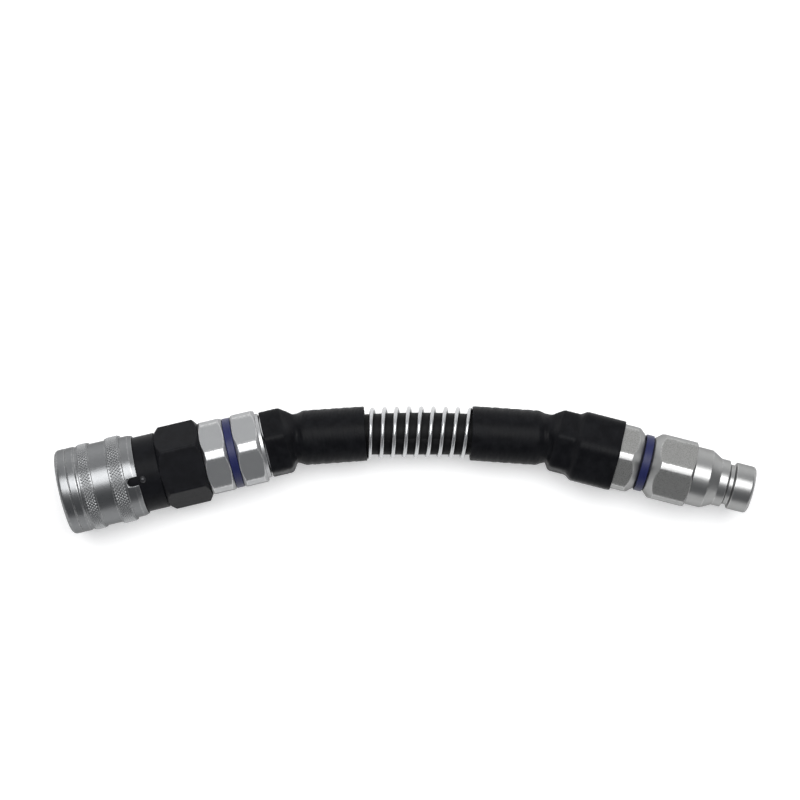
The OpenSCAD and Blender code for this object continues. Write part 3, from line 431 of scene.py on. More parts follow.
class Board:
    """A short way to add and join nodes in a tree."""

    def __init__(self, tree: Tree) -> None:
        """Takes the tree to work on."""
        self.tree = tree

    def add(self, kind: str, inputs: dict[str | int, object] | None = None, **settings: object) -> bpy.types.Node:
        """Adds a node.

        Args:
            kind: Blender's name for the node.
            inputs: Values or output sockets for its inputs, by name or number.
            settings: Properties of the node.

        Returns:
            The node.
        """
        node = self.tree.nodes.new(kind)
        for key, value in settings.items():
            setattr(node, key, value)
        for key, value in (inputs or {}).items():
            if isinstance(value, Socket):
                self.tree.links.new(value, node.inputs[key])
            else:
                node.inputs[key].default_value = value
        return node

    def math(self, operation: str, first: object, second: object = 0.0, clamp: bool = False) -> Socket:
        """Adds a math node for two values or sockets and returns its output."""
        return self.add("ShaderNodeMath", {0: first, 1: second}, operation=operation, use_clamp=clamp).outputs[0]

    def blend(self, share: object, first: object, second: object) -> Socket:
        """Mixes two colours by a share and returns the result."""
        first, second = (c if isinstance(c, Socket) else (*c, 1.0) for c in (first, second))
        return self.add("ShaderNodeMix", {0: share, 6: first, 7: second}, data_type="RGBA").outputs[2]

    def between(self, share: object, low: float, high: float) -> Socket:
        """Maps a share from 0 to 1 onto two values and returns the result."""
        return self.add("ShaderNodeMapRange", {"Value": share, "To Min": low, "To Max": high}).outputs[0]

    def ranged(self, value: object, low: object, high: object) -> Socket:
        """Maps what lies between two values onto a share from 0 to 1 and returns it."""
        return self.add("ShaderNodeMapRange", {"Value": value, "From Min": low, "From Max": high}).outputs[0]

    def noise(self, place: object, scale: object = 1.0, detail: float = 2.0, roughness: float = 0.5) -> Socket:
        """Adds a noise texture and returns its value."""
        inputs = {"Vector": place, "Scale": scale, "Detail": detail, "Roughness": roughness}
        return self.add("ShaderNodeTexNoise", inputs).outputs[0]


def value_group(name: str, **inputs: float) -> Callable[[Callable], Callable[[], Tree]]:
    """Turns a function that builds one value from a vector into a shader node group, made once.

    Args:
        name: Name of the group.
        inputs: Defaults of its inputs beside the vector, by lower-case name.

    Returns:
        A decorator for a function of a board and the group's input sockets that returns the value.
    """

    def wrap(shape: Callable[[Board, Sockets], Socket]) -> Callable:
        @functools.cache
        def made() -> Tree:
            tree = bpy.data.node_groups.new(name, "ShaderNodeTree")
            tree.interface.new_socket("Vector", in_out="INPUT", socket_type="NodeSocketVector")
            for key, value in inputs.items():
                socket = tree.interface.new_socket(key.title(), in_out="INPUT", socket_type="NodeSocketFloat")
                socket.default_value = value
            tree.interface.new_socket("Value", in_out="OUTPUT", socket_type="NodeSocketFloat")
            board = Board(tree)
            board.add("NodeGroupOutput", {0: shape(board, board.add("NodeGroupInput").outputs)})
            return tree

        return made

    return wrap


@value_group("Mottle", scale=300.0, detail=3.0, low=0.3, high=0.7)
def mottle_group(board: Board, enter: Sockets) -> Socket:
    """Soft clouds between two values."""
    noise = board.noise(enter["Vector"], enter["Scale"], enter["Detail"])
    return board.ranged(noise, enter["Low"], enter["High"])


@value_group("Turned lines", pitch=0.1 * MM, slowing=0.17, fine=0.6, broad=0.4)
def turned_lines_group(board: Board, enter: Sockets) -> Socket:
    """Fine rings that a lathe leaves, read along the map's second direction."""
    along = board.add("ShaderNodeSeparateXYZ", {"Vector": enter["Vector"]}).outputs["Y"]
    rings = board.math("DIVIDE", along, enter["Pitch"])
    slow = board.math("MULTIPLY", rings, enter["Slowing"])
    fine, broad = (
        board.add("ShaderNodeTexNoise", {"W": place, "Scale": 1.0, "Detail": detail}, noise_dimensions="1D").outputs[0]
        for place, detail in ((rings, 2.0), (slow, 1.0))
    )
    fine, broad = board.math("MULTIPLY", fine, enter["Fine"]), board.math("MULTIPLY", broad, enter["Broad"])
    return board.math("ADD", fine, broad)


@value_group("Speckle", size=0.25 * MM, cover=0.5, softness=0.12)
def speckle_group(board: Board, enter: Sockets) -> Socket:
    """Small crisp specks."""
    noise = board.noise(enter["Vector"], board.math("DIVIDE", 1.0, enter["Size"]), 1.5, roughness=0.7)
    low = board.math("SUBTRACT", 1.0, enter["Cover"])
    return board.ranged(noise, low, board.math("ADD", low, enter["Softness"]))


@value_group("Edge wear", edge=0.0, amount=0.5, scale=700.0, low=0.35, high=0.6)
def wear_group(board: Board, enter: Sockets) -> Socket:
    """Broken wear along edges, from a mask that is one on them."""
    broken = board.ranged(board.noise(enter["Vector"], enter["Scale"], 3.0), enter["Low"], enter["High"])
    return board.math("MULTIPLY", board.math("MULTIPLY", enter["Edge"], broken), enter["Amount"], clamp=True)


@value_group("Wrap marks", pitch=3 * MM, lean=0.28, steepness=5.0, grain=2600.0, weave=0.7)
def wrap_group(board: Board, enter: Sockets) -> Socket:
    """Marks that a spiral of curing tape leaves on rubber, read from the map."""
    parts = board.add("ShaderNodeSeparateXYZ", {"Vector": enter["Vector"]}).outputs
    leaning = board.math("ADD", parts["Y"], board.math("MULTIPLY", parts["X"], enter["Lean"]))
    turns = board.math("FRACT", board.math("DIVIDE", leaning, enter["Pitch"]))
    ridge = board.math("SMOOTH_MIN", board.math("MULTIPLY", turns, enter["Steepness"]), 1.0)
    weave = board.math("MULTIPLY", board.noise(enter["Vector"], enter["Grain"]), enter["Weave"])
    return board.math("ADD", ridge, weave)


@value_group("Wrinkles", pitch=1.5 * MM, reach=12 * MM)
def wrinkle_group(board: Board, enter: Sockets) -> Socket:
    """Folds that run round a sleeve, short along it and long round it."""
    parts = board.add("ShaderNodeSeparateXYZ", {"Vector": enter["Vector"]}).outputs
    across = board.math("DIVIDE", parts["X"], enter["Reach"])
    along = board.math("DIVIDE", parts["Y"], enter["Pitch"])
    return board.noise(board.add("ShaderNodeCombineXYZ", {"X": across, "Y": along}).outputs[0])


class Surface:
    """A new material with its Principled BSDF and a board to build on."""

    def __init__(self, name: str, metallic: float = 0.0, **plain: float) -> None:
        """Makes the material.

        Args:
            name: Name of the material.
            metallic: Metallic value of the shader.
            plain: Other plain values of the shader, by socket name with underscores for spaces.
        """
        self.material = bpy.data.materials.new(name)
        self.material.use_nodes = True
        self.tree = self.material.node_tree
        self.board = Board(self.tree)
        self.shader = self.tree.nodes["Principled BSDF"]
        self.shader.inputs["Metallic"].default_value = metallic
        for key, value in plain.items():
            self.shader.inputs[key.replace("_", " ").title().replace("Ior", "IOR")].default_value = value
        self.space = self.board.add("ShaderNodeTexCoord").outputs

    def group(self, tree: Tree, **inputs: object) -> Socket:
        """Places a node group and returns its first output."""
        named = {key.title(): value for key, value in inputs.items()}
        return self.board.add("ShaderNodeGroup", named, node_tree=tree).outputs[0]

    def mottle(self, clouds: Clouds) -> Socket:
        """Places soft clouds and returns their value."""
        scale, low, high = clouds
        return self.group(mottle_group(), vector=self.space["Object"], scale=scale, low=low, high=high)

    def worn(self, amount: float) -> Socket:
        """Places broken wear on the mesh's own edges and returns its mask."""
        return self.group(wear_group(), vector=self.space["Object"], edge=self.mask("edge"), amount=amount)

    def tint(self, share: Socket, amount: float, first: object, second: object) -> None:
        """Feeds a mix of two colours to the shader, by a share times an amount."""
        self.feed("Base Color", self.board.blend(self.board.math("MULTIPLY", share, amount), first, second))

    def gloss(self, share: Socket, middle: float, below: float, above: float) -> None:
        """Feeds a roughness that a share moves from below a middle value to above it."""
        self.feed("Roughness", self.board.between(share, middle - below, middle + above))

    def mask(self, name: str) -> Socket:
        """Reads one of the mesh's own masks."""
        return self.board.add("ShaderNodeAttribute", attribute_name=name).outputs["Fac"]

    def feed(self, socket: str, value: Socket) -> None:
        """Links a value or colour to one of the shader's sockets."""
        self.tree.links.new(value, self.shader.inputs[socket])

    def bump(self, height: Socket, distance: float, strength: float = 1.0) -> None:
        """Feeds a height to the shader's normal, over any bump that is there."""
        inputs: dict[str | int, object] = {"Height": height, "Distance": distance, "Strength": strength}
        if self.shader.inputs["Normal"].is_linked:
            inputs["Normal"] = self.shader.inputs["Normal"].links[0].from_socket
        self.feed("Normal", self.board.add("ShaderNodeBump", inputs).outputs[0])


# Finishes


@dataclass(frozen=True)
class TurnedMetal:
    """Plated steel with fine lathe rings on its turned surfaces and a duller skin on its flats."""

    name: str
    colour: Colour
    flat_colour: Colour
    roughness: float = 0.33
    flat_roughness: float = 0.44
    ring_pitch: float = 0.14 * MM
    ring_depth: float = 0.0025 * MM
    speck_size: float = 0.3 * MM
    speck_depth: float = 0.0
    speck_shade: float = 0.0
    wear: float = 0.5
    wear_colour: Colour = (0.78, 0.78, 0.77)
    wear_polish: float = 0.08
    grazing: Colour = (0.5, 0.5, 0.5)
    clouds: Clouds = (260.0, 0.3, 0.7)
    cloud_shade: float = 0.86
    cloud_share: float = 0.3
    fine: Clouds = (2200.0, 0.3, 0.7)
    spread: tuple[float, float] = (-0.04, 0.05)

    def material(self) -> Material:
        """Builds the material."""
        surface = Surface(self.name, metallic=1.0)
        surface.shader.inputs["Specular Tint"].default_value = (*self.grazing, 1.0)
        board = surface.board
        turned = surface.mask("turned")
        clouds, fine = surface.mottle(self.clouds), surface.mottle(self.fine)
        rings = surface.group(turned_lines_group(), vector=surface.space["UV"], pitch=self.ring_pitch)
        specks = surface.group(speckle_group(), vector=surface.space["Object"], size=self.speck_size)
        worn = surface.worn(self.wear)
        flats = board.math("SUBTRACT", 1.0, turned)
        skin = board.blend(turned, self.flat_colour, self.colour)
        dim = tuple(self.cloud_shade * c for c in self.flat_colour)
        skin = board.blend(board.math("MULTIPLY", clouds, self.cloud_share), skin, dim)
        dark = tuple((1 - self.speck_shade) * c for c in self.flat_colour)
        skin = board.blend(board.math("MULTIPLY", specks, flats), skin, dark)
        surface.feed("Base Color", board.blend(worn, skin, self.wear_colour))
        rough = board.between(turned, self.flat_roughness, self.roughness)
        rough = board.math("ADD", rough, board.between(fine, *self.spread))
        rough = board.math("SUBTRACT", rough, board.math("MULTIPLY", worn, self.wear_polish), clamp=True)
        surface.feed("Roughness", rough)
        surface.bump(board.math("MULTIPLY", rings, turned), self.ring_depth)
        if self.speck_depth:
            surface.bump(board.math("MULTIPLY", specks, flats), self.speck_depth)
        return surface.material


@dataclass(frozen=True)
class PlainMetal:
    """Steel of a piece without a map of its own."""

    name: str
    colour: Colour
    roughness: float = 0.3
    grain: float = 900.0
    depth: float = 0.004 * MM
    metallic: float = 1.0
    cloud_shade: float = 0.8
    cloud_share: float = 0.5
    fineness: float = 5.0
    spread: tuple[float, float] = (0.05, 0.07)

    def material(self) -> Material:
        """Builds the material."""
        surface = Surface(self.name, metallic=self.metallic)
        clouds, fine = (surface.mottle((scale, 0.3, 0.7)) for scale in (self.grain, self.fineness * self.grain))
        surface.tint(clouds, self.cloud_share, self.colour, tuple(self.cloud_shade * c for c in self.colour))
        surface.gloss(fine, self.roughness, *self.spread)
        surface.bump(fine, self.depth)
        return surface.material


@dataclass(frozen=True)
class BlackPlating:
    """Satin black plating that wears to steel at the edges."""

    name: str = "black_plating"
    colour: Colour = (0.0045, 0.0047, 0.0058)
    worn_colour: Colour = (0.05, 0.05, 0.055)
    roughness: float = 0.46
    ring_pitch: float = 0.16 * MM
    ring_depth: float = 0.003 * MM
    wear: float = 0.12
    clouds: Clouds = (220.0, 0.35, 0.65)
    cloud_shade: float = 1.5
    fine: Clouds = (2600.0, 0.35, 0.65)
    fine_depth: float = 0.005 * MM
    spread: tuple[float, float] = (0.05, 0.08)

    def material(self) -> Material:
        """Builds the material."""
        surface = Surface(self.name, specular_ior_level=0.07)
        board = surface.board
        turned = surface.mask("turned")
        clouds, fine = surface.mottle(self.clouds), surface.mottle(self.fine)
        rings = surface.group(turned_lines_group(), vector=surface.space["UV"], pitch=self.ring_pitch)
        worn = surface.worn(self.wear)
        skin = board.blend(clouds, self.colour, tuple(self.cloud_shade * c for c in self.colour))
        surface.feed("Base Color", board.blend(worn, skin, self.worn_colour))
        surface.gloss(fine, self.roughness, *self.spread)
        surface.bump(board.math("MULTIPLY", rings, turned), self.ring_depth)
        surface.bump(fine, self.fine_depth)
        return surface.material


@dataclass(frozen=True)
class ShrinkPlastic:
    """Heat-shrunk sleeving: satin black with a faint orange-peel skin and dusty ridges."""

    name: str = "shrink_plastic"
    colour: Colour = (0.004, 0.0042, 0.0052)
    dusty: Colour = (0.009, 0.0094, 0.011)
    roughness: float = 0.4
    clouds: Clouds = (170.0, 0.4, 0.7)
    cloud_share: float = 0.6
    cloud_spread: float = 0.12
    peel: Clouds = (900.0, 0.2, 0.8)
    fine: Clouds = (4200.0, 0.2, 0.8)
    fine_spread: float = 0.03
    fold_pitch: float = 1.6 * MM
    fold_reach: float = 14 * MM
    # Depth and strength of the folds, the peel and the grain.
    depths: Sequence[tuple[float, float]] = ((0.25 * MM, 0.6), (0.04 * MM, 0.5), (0.01 * MM, 1.0))

    def material(self) -> Material:
        """Builds the material."""
        surface = Surface(self.name, specular_ior_level=0.07)
        board = surface.board
        clouds, peel, fine = (surface.mottle(clouds) for clouds in (self.clouds, self.peel, self.fine))
        surface.tint(clouds, self.cloud_share, self.colour, self.dusty)
        broad = board.between(clouds, self.roughness, self.roughness + self.cloud_spread)
        surface.feed("Roughness", board.math("ADD", broad, board.between(fine, -self.fine_spread, self.fine_spread)))
        space = surface.space["UV"]
        folds = surface.group(wrinkle_group(), vector=space, pitch=self.fold_pitch, reach=self.fold_reach)
        for height, (depth, strength) in zip((folds, peel, fine), self.depths):
            surface.bump(height, depth, strength)
        return surface.material


@dataclass(frozen=True)
class HoseRubber:
    """Black rubber cover with the marks of its curing tape."""

    name: str = "hose_rubber"
    colour: Colour = (0.004, 0.004, 0.0045)
    dusty: Colour = (0.012, 0.012, 0.0125)
    roughness: float = 0.55
    spread: tuple[float, float] = (0.06, 0.12)
    clouds: Clouds = (420.0, 0.4, 0.75)
    cloud_share: float = 0.5
    tape_pitch: float = 3.1 * MM
    tape_depth: float = 0.06 * MM
    tape_strength: float = 0.7

    def material(self) -> Material:
        """Builds the material."""
        surface = Surface(self.name, specular_ior_level=0.1)
        clouds = surface.mottle(self.clouds)
        surface.tint(clouds, self.cloud_share, self.colour, self.dusty)
        surface.gloss(clouds, self.roughness, *self.spread)
        tape = surface.group(wrap_group(), vector=surface.space["UV"], pitch=self.tape_pitch)
        surface.bump(tape, self.tape_depth, self.tape_strength)
        return surface.material


@dataclass(frozen=True)
class BandPlastic:
    """Coloured marking band, bare of any print, with fine scuffs."""

    name: str = "band_plastic"
    colour: Colour = (0.008, 0.011, 0.062)
    scuffed: Colour = (0.019, 0.024, 0.1)
    roughness: float = 0.42
    spread: tuple[float, float] = (0.06, 0.1)
    clouds: Clouds = (350.0, 0.35, 0.7)
    cloud_share: float = 0.25
    wear: float = 0.5
    fine: Clouds = (3000.0, 0.3, 0.7)
    fine_depth: float = 0.012 * MM

    def material(self) -> Material:
        """Builds the material."""
        surface = Surface(self.name, specular_ior_level=0.3)
        board = surface.board
        clouds, fine = surface.mottle(self.clouds), surface.mottle(self.fine)
        dull = board.math("MAXIMUM", board.math("MULTIPLY", clouds, self.cloud_share), surface.worn(self.wear))
        surface.feed("Base Color", board.blend(dull, self.colour, self.scuffed))
        surface.gloss(fine, self.roughness, *self.spread)
        surface.bump(fine, self.fine_depth)
        return surface.material


@dataclass(frozen=True)
class SoftRubber:
    """Rubber or woven wire of an inner piece."""

    name: str
    colour: Colour
    roughness: float = 0.6
    spread: float = 0.08
    metallic: float = 0.0
    fine: Clouds = (1800.0, 0.3, 0.7)
    fine_depth: float = 0.02 * MM
    shade: float = 0.7

    def material(self) -> Material:
        """Builds the material."""
        surface = Surface(self.name, metallic=self.metallic)
        fine = surface.mottle(self.fine)
        surface.tint(fine, 1.0, self.colour, tuple(self.shade * c for c in self.colour))
        surface.gloss(fine, self.roughness, self.spread, self.spread)
        surface.bump(fine, self.fine_depth)
        return surface.material


class Palette:
    """Every finish of the assembly, built once."""

    def __init__(self) -> None:
        """Builds the materials by slot, and those that a slot shares."""
        dim_zinc = (0.2, 0.204, 0.208)
        self.satin = TurnedMetal("satin_zinc", dim_zinc, dim_zinc, roughness=0.31, wear=0.2).material()
        self.zinc = TurnedMetal("zinc_plating", (0.42, 0.425, 0.43), (0.36, 0.365, 0.37), roughness=0.37).material()
        self.plug = TurnedMetal(
            "speckled_zinc",
            (0.32, 0.322, 0.32),
            (0.32, 0.32, 0.312),
            flat_roughness=0.46,
            speck_size=0.42 * MM,
            speck_depth=0.015 * MM,
            speck_shade=0.38,
            wear=0.3,
        ).material()
        self.knurl = PlainMetal("knurled_zinc", (0.34, 0.344, 0.348), roughness=0.33, grain=1500.0).material()
        self.black = BlackPlating().material()
        self.shrink = ShrinkPlastic().material()
        self.band = BandPlastic().material()
        self.rubber = HoseRubber().material()
        self.guard = PlainMetal("guard_wire_zinc", (0.52, 0.525, 0.53), roughness=0.3, grain=700.0).material()
        self.spring = PlainMetal("spring_steel", (0.42, 0.42, 0.43), roughness=0.28).material()
        hidden = {
            Slot.BLACK_BODY: PlainMetal("black_steel", (0.02, 0.02, 0.023), metallic=0.4),
            Slot.TURNED_STEEL: PlainMetal("machined_steel", (0.56, 0.565, 0.57), roughness=0.26),
            Slot.PLUG_STEEL: PlainMetal("poppet_steel", (0.52, 0.525, 0.52), roughness=0.24),
            Slot.BALL_STEEL: PlainMetal("ball_steel", (0.7, 0.7, 0.71), roughness=0.1, depth=0.001 * MM),
            Slot.DARK_BALL: PlainMetal("dark_ball_steel", (0.03, 0.03, 0.033), roughness=0.25, metallic=0.5),
            Slot.SEAL_RUBBER: SoftRubber("seal_rubber", (0.012, 0.012, 0.012), roughness=0.45),
            Slot.HOSE_TUBE: SoftRubber("inner_tube_rubber", (0.012, 0.012, 0.012)),
            Slot.HOSE_BRAID: SoftRubber("braid_wire", (0.4, 0.36, 0.25), roughness=0.4, metallic=1.0),
        }
        self.by_slot = {slot.value: finish.material() for slot, finish in hidden.items()} | {
            Slot.SPRING_STEEL.value: self.spring,
            Slot.GUARD_WIRE.value: self.guard,
            Slot.HEAT_SHRINK.value: self.shrink,
            Slot.BAND.value: self.band,
            Slot.HOSE_COVER.value: self.rubber,
        }

    def dress_frame(self, frame: dict) -> None:
        """Gives each CAD node the material of its slot.
        """
        for part in frame["record"]["subparts"]:
            mesh = frame["nodes"][part["node"]].data
            mesh.materials.clear()
            mesh.materials.append(self.by_slot[part["material_slot"]])


# Geometry node trees


def geometry_tree(name: str, sizes: dict[str, float | int]) -> Board:
    """Starts a geometry node tree that takes and gives geometry and ends in a material.

    Args:
        name: Name of the tree.
        sizes: Defaults of its named inputs; a whole number makes an integer input.

    Returns:
        A board on the tree, with its input node named enter.
    """
    tree = bpy.data.node_groups.new(name, "GeometryNodeTree")
    tree.interface.new_socket("Geometry", in_out="INPUT", socket_type="NodeSocketGeometry")
    for key, value in sizes.items():
        kind = "NodeSocketInt" if isinstance(value, int) else "NodeSocketFloat"
        tree.interface.new_socket(key, in_out="INPUT", socket_type=kind).default_value = value
    tree.interface.new_socket("Material", in_out="INPUT", socket_type="NodeSocketMaterial")
    tree.interface.new_socket("Geometry", in_out="OUTPUT", socket_type="NodeSocketGeometry")
    board = Board(tree)
    board.add("NodeGroupInput").name = "enter"
    return board


def end_tree(board: Board, geometry: Socket, smooth: bool) -> Tree:
    """Ends a geometry tree in Realize Instances and Set Material.

    Args:
        board: The board that geometry_tree() made.
        geometry: What the tree has made.
        smooth: Whether its faces are shaded smooth.

    Returns:
        The finished tree.
    """
    real = board.add("GeometryNodeRealizeInstances", {"Geometry": geometry}).outputs[0]
    shaded = board.add("GeometryNodeSetShadeSmooth", {"Geometry": real, "Shade Smooth": smooth}).outputs[0]
    material = board.tree.nodes["enter"].outputs["Material"]
    dressed = board.add("GeometryNodeSetMaterial", {"Geometry": shaded, "Material": material}).outputs[0]
    board.add("NodeGroupOutput", {"Geometry": dressed})
    return board.tree


@functools.cache
def wire_tree() -> Tree:
    """Sweeps round wire along a line of edges."""
    board = geometry_tree("Wire along a line", {"Wire radius": 1 * MM, "Sides": 12})
    enter = board.tree.nodes["enter"].outputs
    curve = board.add("GeometryNodeMeshToCurve", {"Mesh": enter["Geometry"]}).outputs[0]
    ring = board.add("GeometryNodeCurvePrimitiveCircle", {"Resolution": enter["Sides"], "Radius": enter["Wire radius"]})
    swept = board.add(
        "GeometryNodeCurveToMesh", {"Curve": curve, "Profile Curve": ring.outputs["Curve"], "Fill Caps": True}
    )
    return end_tree(board, swept.outputs[0], smooth=True)


@functools.cache
def knurl_tree() -> Tree:
    """Sets one tooth in staggered rows round the Z axis."""
    sizes: dict[str, float | int] = {"Teeth": 150, "Rows": 10, "Row pitch": 0.5 * MM, "Start": 0.0, "Root": 24 * MM}
    board = geometry_tree("Knurl", sizes)
    enter = board.tree.nodes["enter"].outputs
    count = board.math("MULTIPLY", enter["Teeth"], enter["Rows"])
    index = board.add("GeometryNodeInputIndex").outputs[0]
    row = board.math("FLOOR", board.math("DIVIDE", board.math("ADD", index, 0.5), enter["Teeth"]))
    column = board.math("MODULO", board.math("ADD", index, 0.5), enter["Teeth"])
    stagger = board.math("MULTIPLY", board.math("MODULO", row, 2.0), 0.5)
    turn = board.math("MULTIPLY", board.math("DIVIDE", board.math("ADD", column, stagger), enter["Teeth"]), 2 * math.pi)
    across = board.math("MULTIPLY", board.math("COSINE", turn), enter["Root"])
    up = board.math("MULTIPLY", board.math("SINE", turn), enter["Root"])
    along = board.math("ADD", board.math("MULTIPLY", row, enter["Row pitch"]), enter["Start"])
    place = board.add("ShaderNodeCombineXYZ", {"X": across, "Y": up, "Z": along}).outputs[0]
    facing = board.add("ShaderNodeCombineXYZ", {"Z": turn}).outputs[0]
    spots = board.add("GeometryNodePoints", {"Count": count, "Position": place}).outputs[0]
    teeth = board.add(
        "GeometryNodeInstanceOnPoints", {"Points": spots, "Instance": enter["Geometry"], "Rotation": facing}
    )
    return end_tree(board, teeth.outputs[0], smooth=False)


def grow(name: str, seed: bpy.types.Mesh, tree: Tree, sizes: dict[str, float | int], material: Material) -> Piece:
    """Runs a geometry tree on a seed mesh and keeps the result as a plain mesh.

    Args:
        name: Name of the finished object.
        seed: What the tree starts from.
        tree: The tree.
        sizes: Values of its named inputs.
        material: The finish.

    Returns:
        The finished object, linked to the scene.
    """
    holder = add_object(name + "_seed", seed)
    modifier = holder.modifiers.new("tree", "NODES")
    modifier.node_group = tree
    sockets = {
        item.name: item.identifier
        for item in tree.interface.items_tree
        if item.item_type == "SOCKET" and item.in_out == "INPUT"
    }
    for key, value in {**sizes, "Material": material}.items():
        modifier[sockets[key]] = value
    graph = bpy.context.evaluated_depsgraph_get()
    mesh = bpy.data.meshes.new_from_object(holder.evaluated_get(graph), depsgraph=graph)
    mesh.name = name
    bpy.data.objects.remove(holder)
    return add_object(name, mesh)


def settle_piece(
    piece: Piece, body: Body, replaced: Sequence[str] = (), material: Material | None = None
) -> None:
    """Gives a finished piece its body and material, and hides the CAD nodes it stands for.

    Args:
        piece: The piece.
        body: The body it rides on.
        replaced: CAD nodes that it replaces.
        material: Its material, where the mesh has none yet.
    """
    if material is not None:
        piece.data.materials.clear()
        piece.data.materials.append(material)
    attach(piece, body.value)
    if replaced:
        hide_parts(*replaced)
    LOG.info("%s: %d faces on %s", piece.name, len(piece.data.polygons), body.value)


# Sub-assemblies


def runs(*spans: tuple[float, float, float]) -> Profile:
    """Corners of a stepped outline.

    Args:
        spans: Runs of one radius: first level, last level and radius.

    Returns:
        Two corners for each run.
    """
    return [(level, radius) for first, last, radius in spans for level in (first, last)]


def rounded_edge(along: float, radius: float, rounding: float, steps: int = 6) -> Profile:
    """Corners of a quarter round, from an end face to an outer surface.

    Args:
        along: Level of the end face.
        radius: Radius of the outer surface.
        rounding: Radius of the round.
        steps: Number of chords.

    Returns:
        Points from the end face outwards.
    """
    quarter = [math.pi / 2 * i / steps for i in range(steps + 1)]
    centre = radius - rounding
    return [(along + rounding * (1 - math.cos(a)), centre + rounding * math.sin(a)) for a in quarter]


@dataclass
class LockingSleeve:
    """The knurled sleeve that is pulled back to let go of the plug."""

    line: StraightLine
    palette: Palette
    length: float = 44.4 * MM
    front_r: float = 24.4 * MM
    edge_r: float = 2.4 * MM
    line_at: float = 6.4 * MM
    line_depth: float = 0.4 * MM
    front_band_end: float = 10.6 * MM
    step: float = 1 * MM
    front_knurl: tuple[float, float] = (12.6 * MM, 19.6 * MM)
    rear_knurl: tuple[float, float] = (29.2 * MM, 37.4 * MM)
    front_knurl_r: float = 24.9 * MM
    rear_knurl_r: float = 25 * MM
    middle_r: float = 23.8 * MM
    rear_r: float = 23.4 * MM
    rear_edge_r: float = 22.7 * MM
    rear_taper: float = 2.4 * MM
    relief_r: float = 21 * MM
    land: tuple[float, float] = (7 * MM, 13.5 * MM)
    land_r: float = 19.05 * MM
    bore_r: float = 21.65 * MM
    notch_width: float = 4.9 * MM
    notch_depth: float = 6 * MM
    notch_angle: float = 197.0
    notch_steps: int = 24
    cutter_reach: float = 5 * MM
    cutter_rise: float = 3 * MM
    tooth_depth: float = 0.42 * MM
    tooth_sunk: float = 0.08 * MM
    tooth_blunt: float = 0.14
    teeth: int = 80
    knurl_margin: float = 0.35 * MM

    def _loop(self) -> Profile:
        """Outline of the sleeve, outside first."""
        front_root = self.front_knurl_r - self.tooth_depth
        rear_root = self.rear_knurl_r - self.tooth_depth
        return [
            *rounded_edge(0, self.front_r, self.edge_r),
            (self.line_at - self.line_depth, self.front_r),
            (self.line_at, self.front_r - self.line_depth),
            (self.line_at + self.line_depth, self.front_r),
            (self.front_band_end, self.front_r),
            *runs(
                (self.front_band_end + self.step, self.front_knurl[0], self.middle_r),
                (*self.front_knurl, front_root),
                (self.front_knurl[1], self.rear_knurl[0], self.middle_r),
                (*self.rear_knurl, rear_root),
                (self.rear_knurl[1], self.length - self.rear_taper, self.rear_r),
            ),
            (self.length, self.rear_edge_r),
            *runs(
                (self.length, self.land[1], self.bore_r),
                (*self.land[::-1], self.land_r),
                (self.land[0], 0, self.relief_r),
            ),
        ]

    def _notch_cutter(self) -> Piece:
        """A round-bottomed bar that stands where the notch is cut."""
        half = self.notch_width / 2
        bottom = self.length - self.notch_depth + half
        reach = self.length + self.cutter_reach
        steps = self.notch_steps
        turn = [math.pi / 2 + math.pi * i / steps for i in range(steps + 1)]
        outline = [(bottom + half * math.cos(a), half * math.sin(a)) for a in turn]
        outline += [(reach, -half), (reach, half)]
        centre = math.radians(self.notch_angle)
        levels = (self.land_r, self.rear_knurl_r + self.cutter_rise)
        corners = []
        for level in levels:
            for along, across in outline:
                angle = centre + math.atan2(across, level)
                corners.append(self.line.place(np.array(along), np.array(math.hypot(level, across)), np.array(angle)))
        count = len(outline)
        faces = [[i, count + i, count + (i + 1) % count, (i + 1) % count] for i in range(count)]
        faces += [list(range(count)), list(range(count, 2 * count))[::-1]]
        mesh = bpy.data.meshes.new("notch_cutter")
        mesh.from_pydata([tuple(c) for c in corners], [], faces)
        return add_object("notch_cutter", mesh)

    def _tooth(self, radius: float, row_pitch: float) -> bpy.types.Mesh:
        """One blunt four-sided tooth that points along X.

        Args:
            radius: Radius of the knurl's tips.
            row_pitch: Distance between rows.

        Returns:
            The closed mesh.
        """
        half = math.pi * radius / self.teeth
        sunk, blunt = self.tooth_sunk, self.tooth_blunt
        base = [(-sunk, half, 0), (-sunk, 0, row_pitch), (-sunk, -half, 0), (-sunk, 0, -row_pitch)]
        tip = [(self.tooth_depth, blunt * y, blunt * z) for _, y, z in base]
        sides = [[i, (i + 1) % 4, 4 + (i + 1) % 4, 4 + i] for i in range(4)]
        mesh = bpy.data.meshes.new("knurl_tooth")
        mesh.from_pydata(base + tip, [], [*sides, [3, 2, 1, 0], [4, 5, 6, 7]])
        return mesh

    def _knurl(self, name: str, span: tuple[float, float], radius: float) -> Piece:
        """Builds one band of teeth.

        Args:
            name: Name of the piece.
            span: Levels of the band's ends.
            radius: Radius of the tips.

        Returns:
            The band in its place.
        """
        room = span[1] - span[0] - 2 * self.knurl_margin
        half = math.pi * radius / self.teeth
        rows = int(room / half) - 1
        row_pitch = room / (rows + 1)
        sizes = {
            "Teeth": self.teeth,
            "Rows": rows,
            "Row pitch": row_pitch,
            "Start": span[0] + self.knurl_margin + row_pitch,
            "Root": radius - self.tooth_depth,
        }
        band = grow(name, self._tooth(radius, row_pitch), knurl_tree(), sizes, self.palette.knurl)
        co = np.empty(len(band.data.vertices) * 3)
        band.data.vertices.foreach_get("co", co)
        co = co.reshape(-1, 3)
        placed = self.line.place(co[:, 2], np.hypot(co[:, 0], co[:, 1]), np.arctan2(co[:, 1], co[:, 0]))
        band.data.vertices.foreach_set("co", placed.ravel())
        band.data.update()
        return band

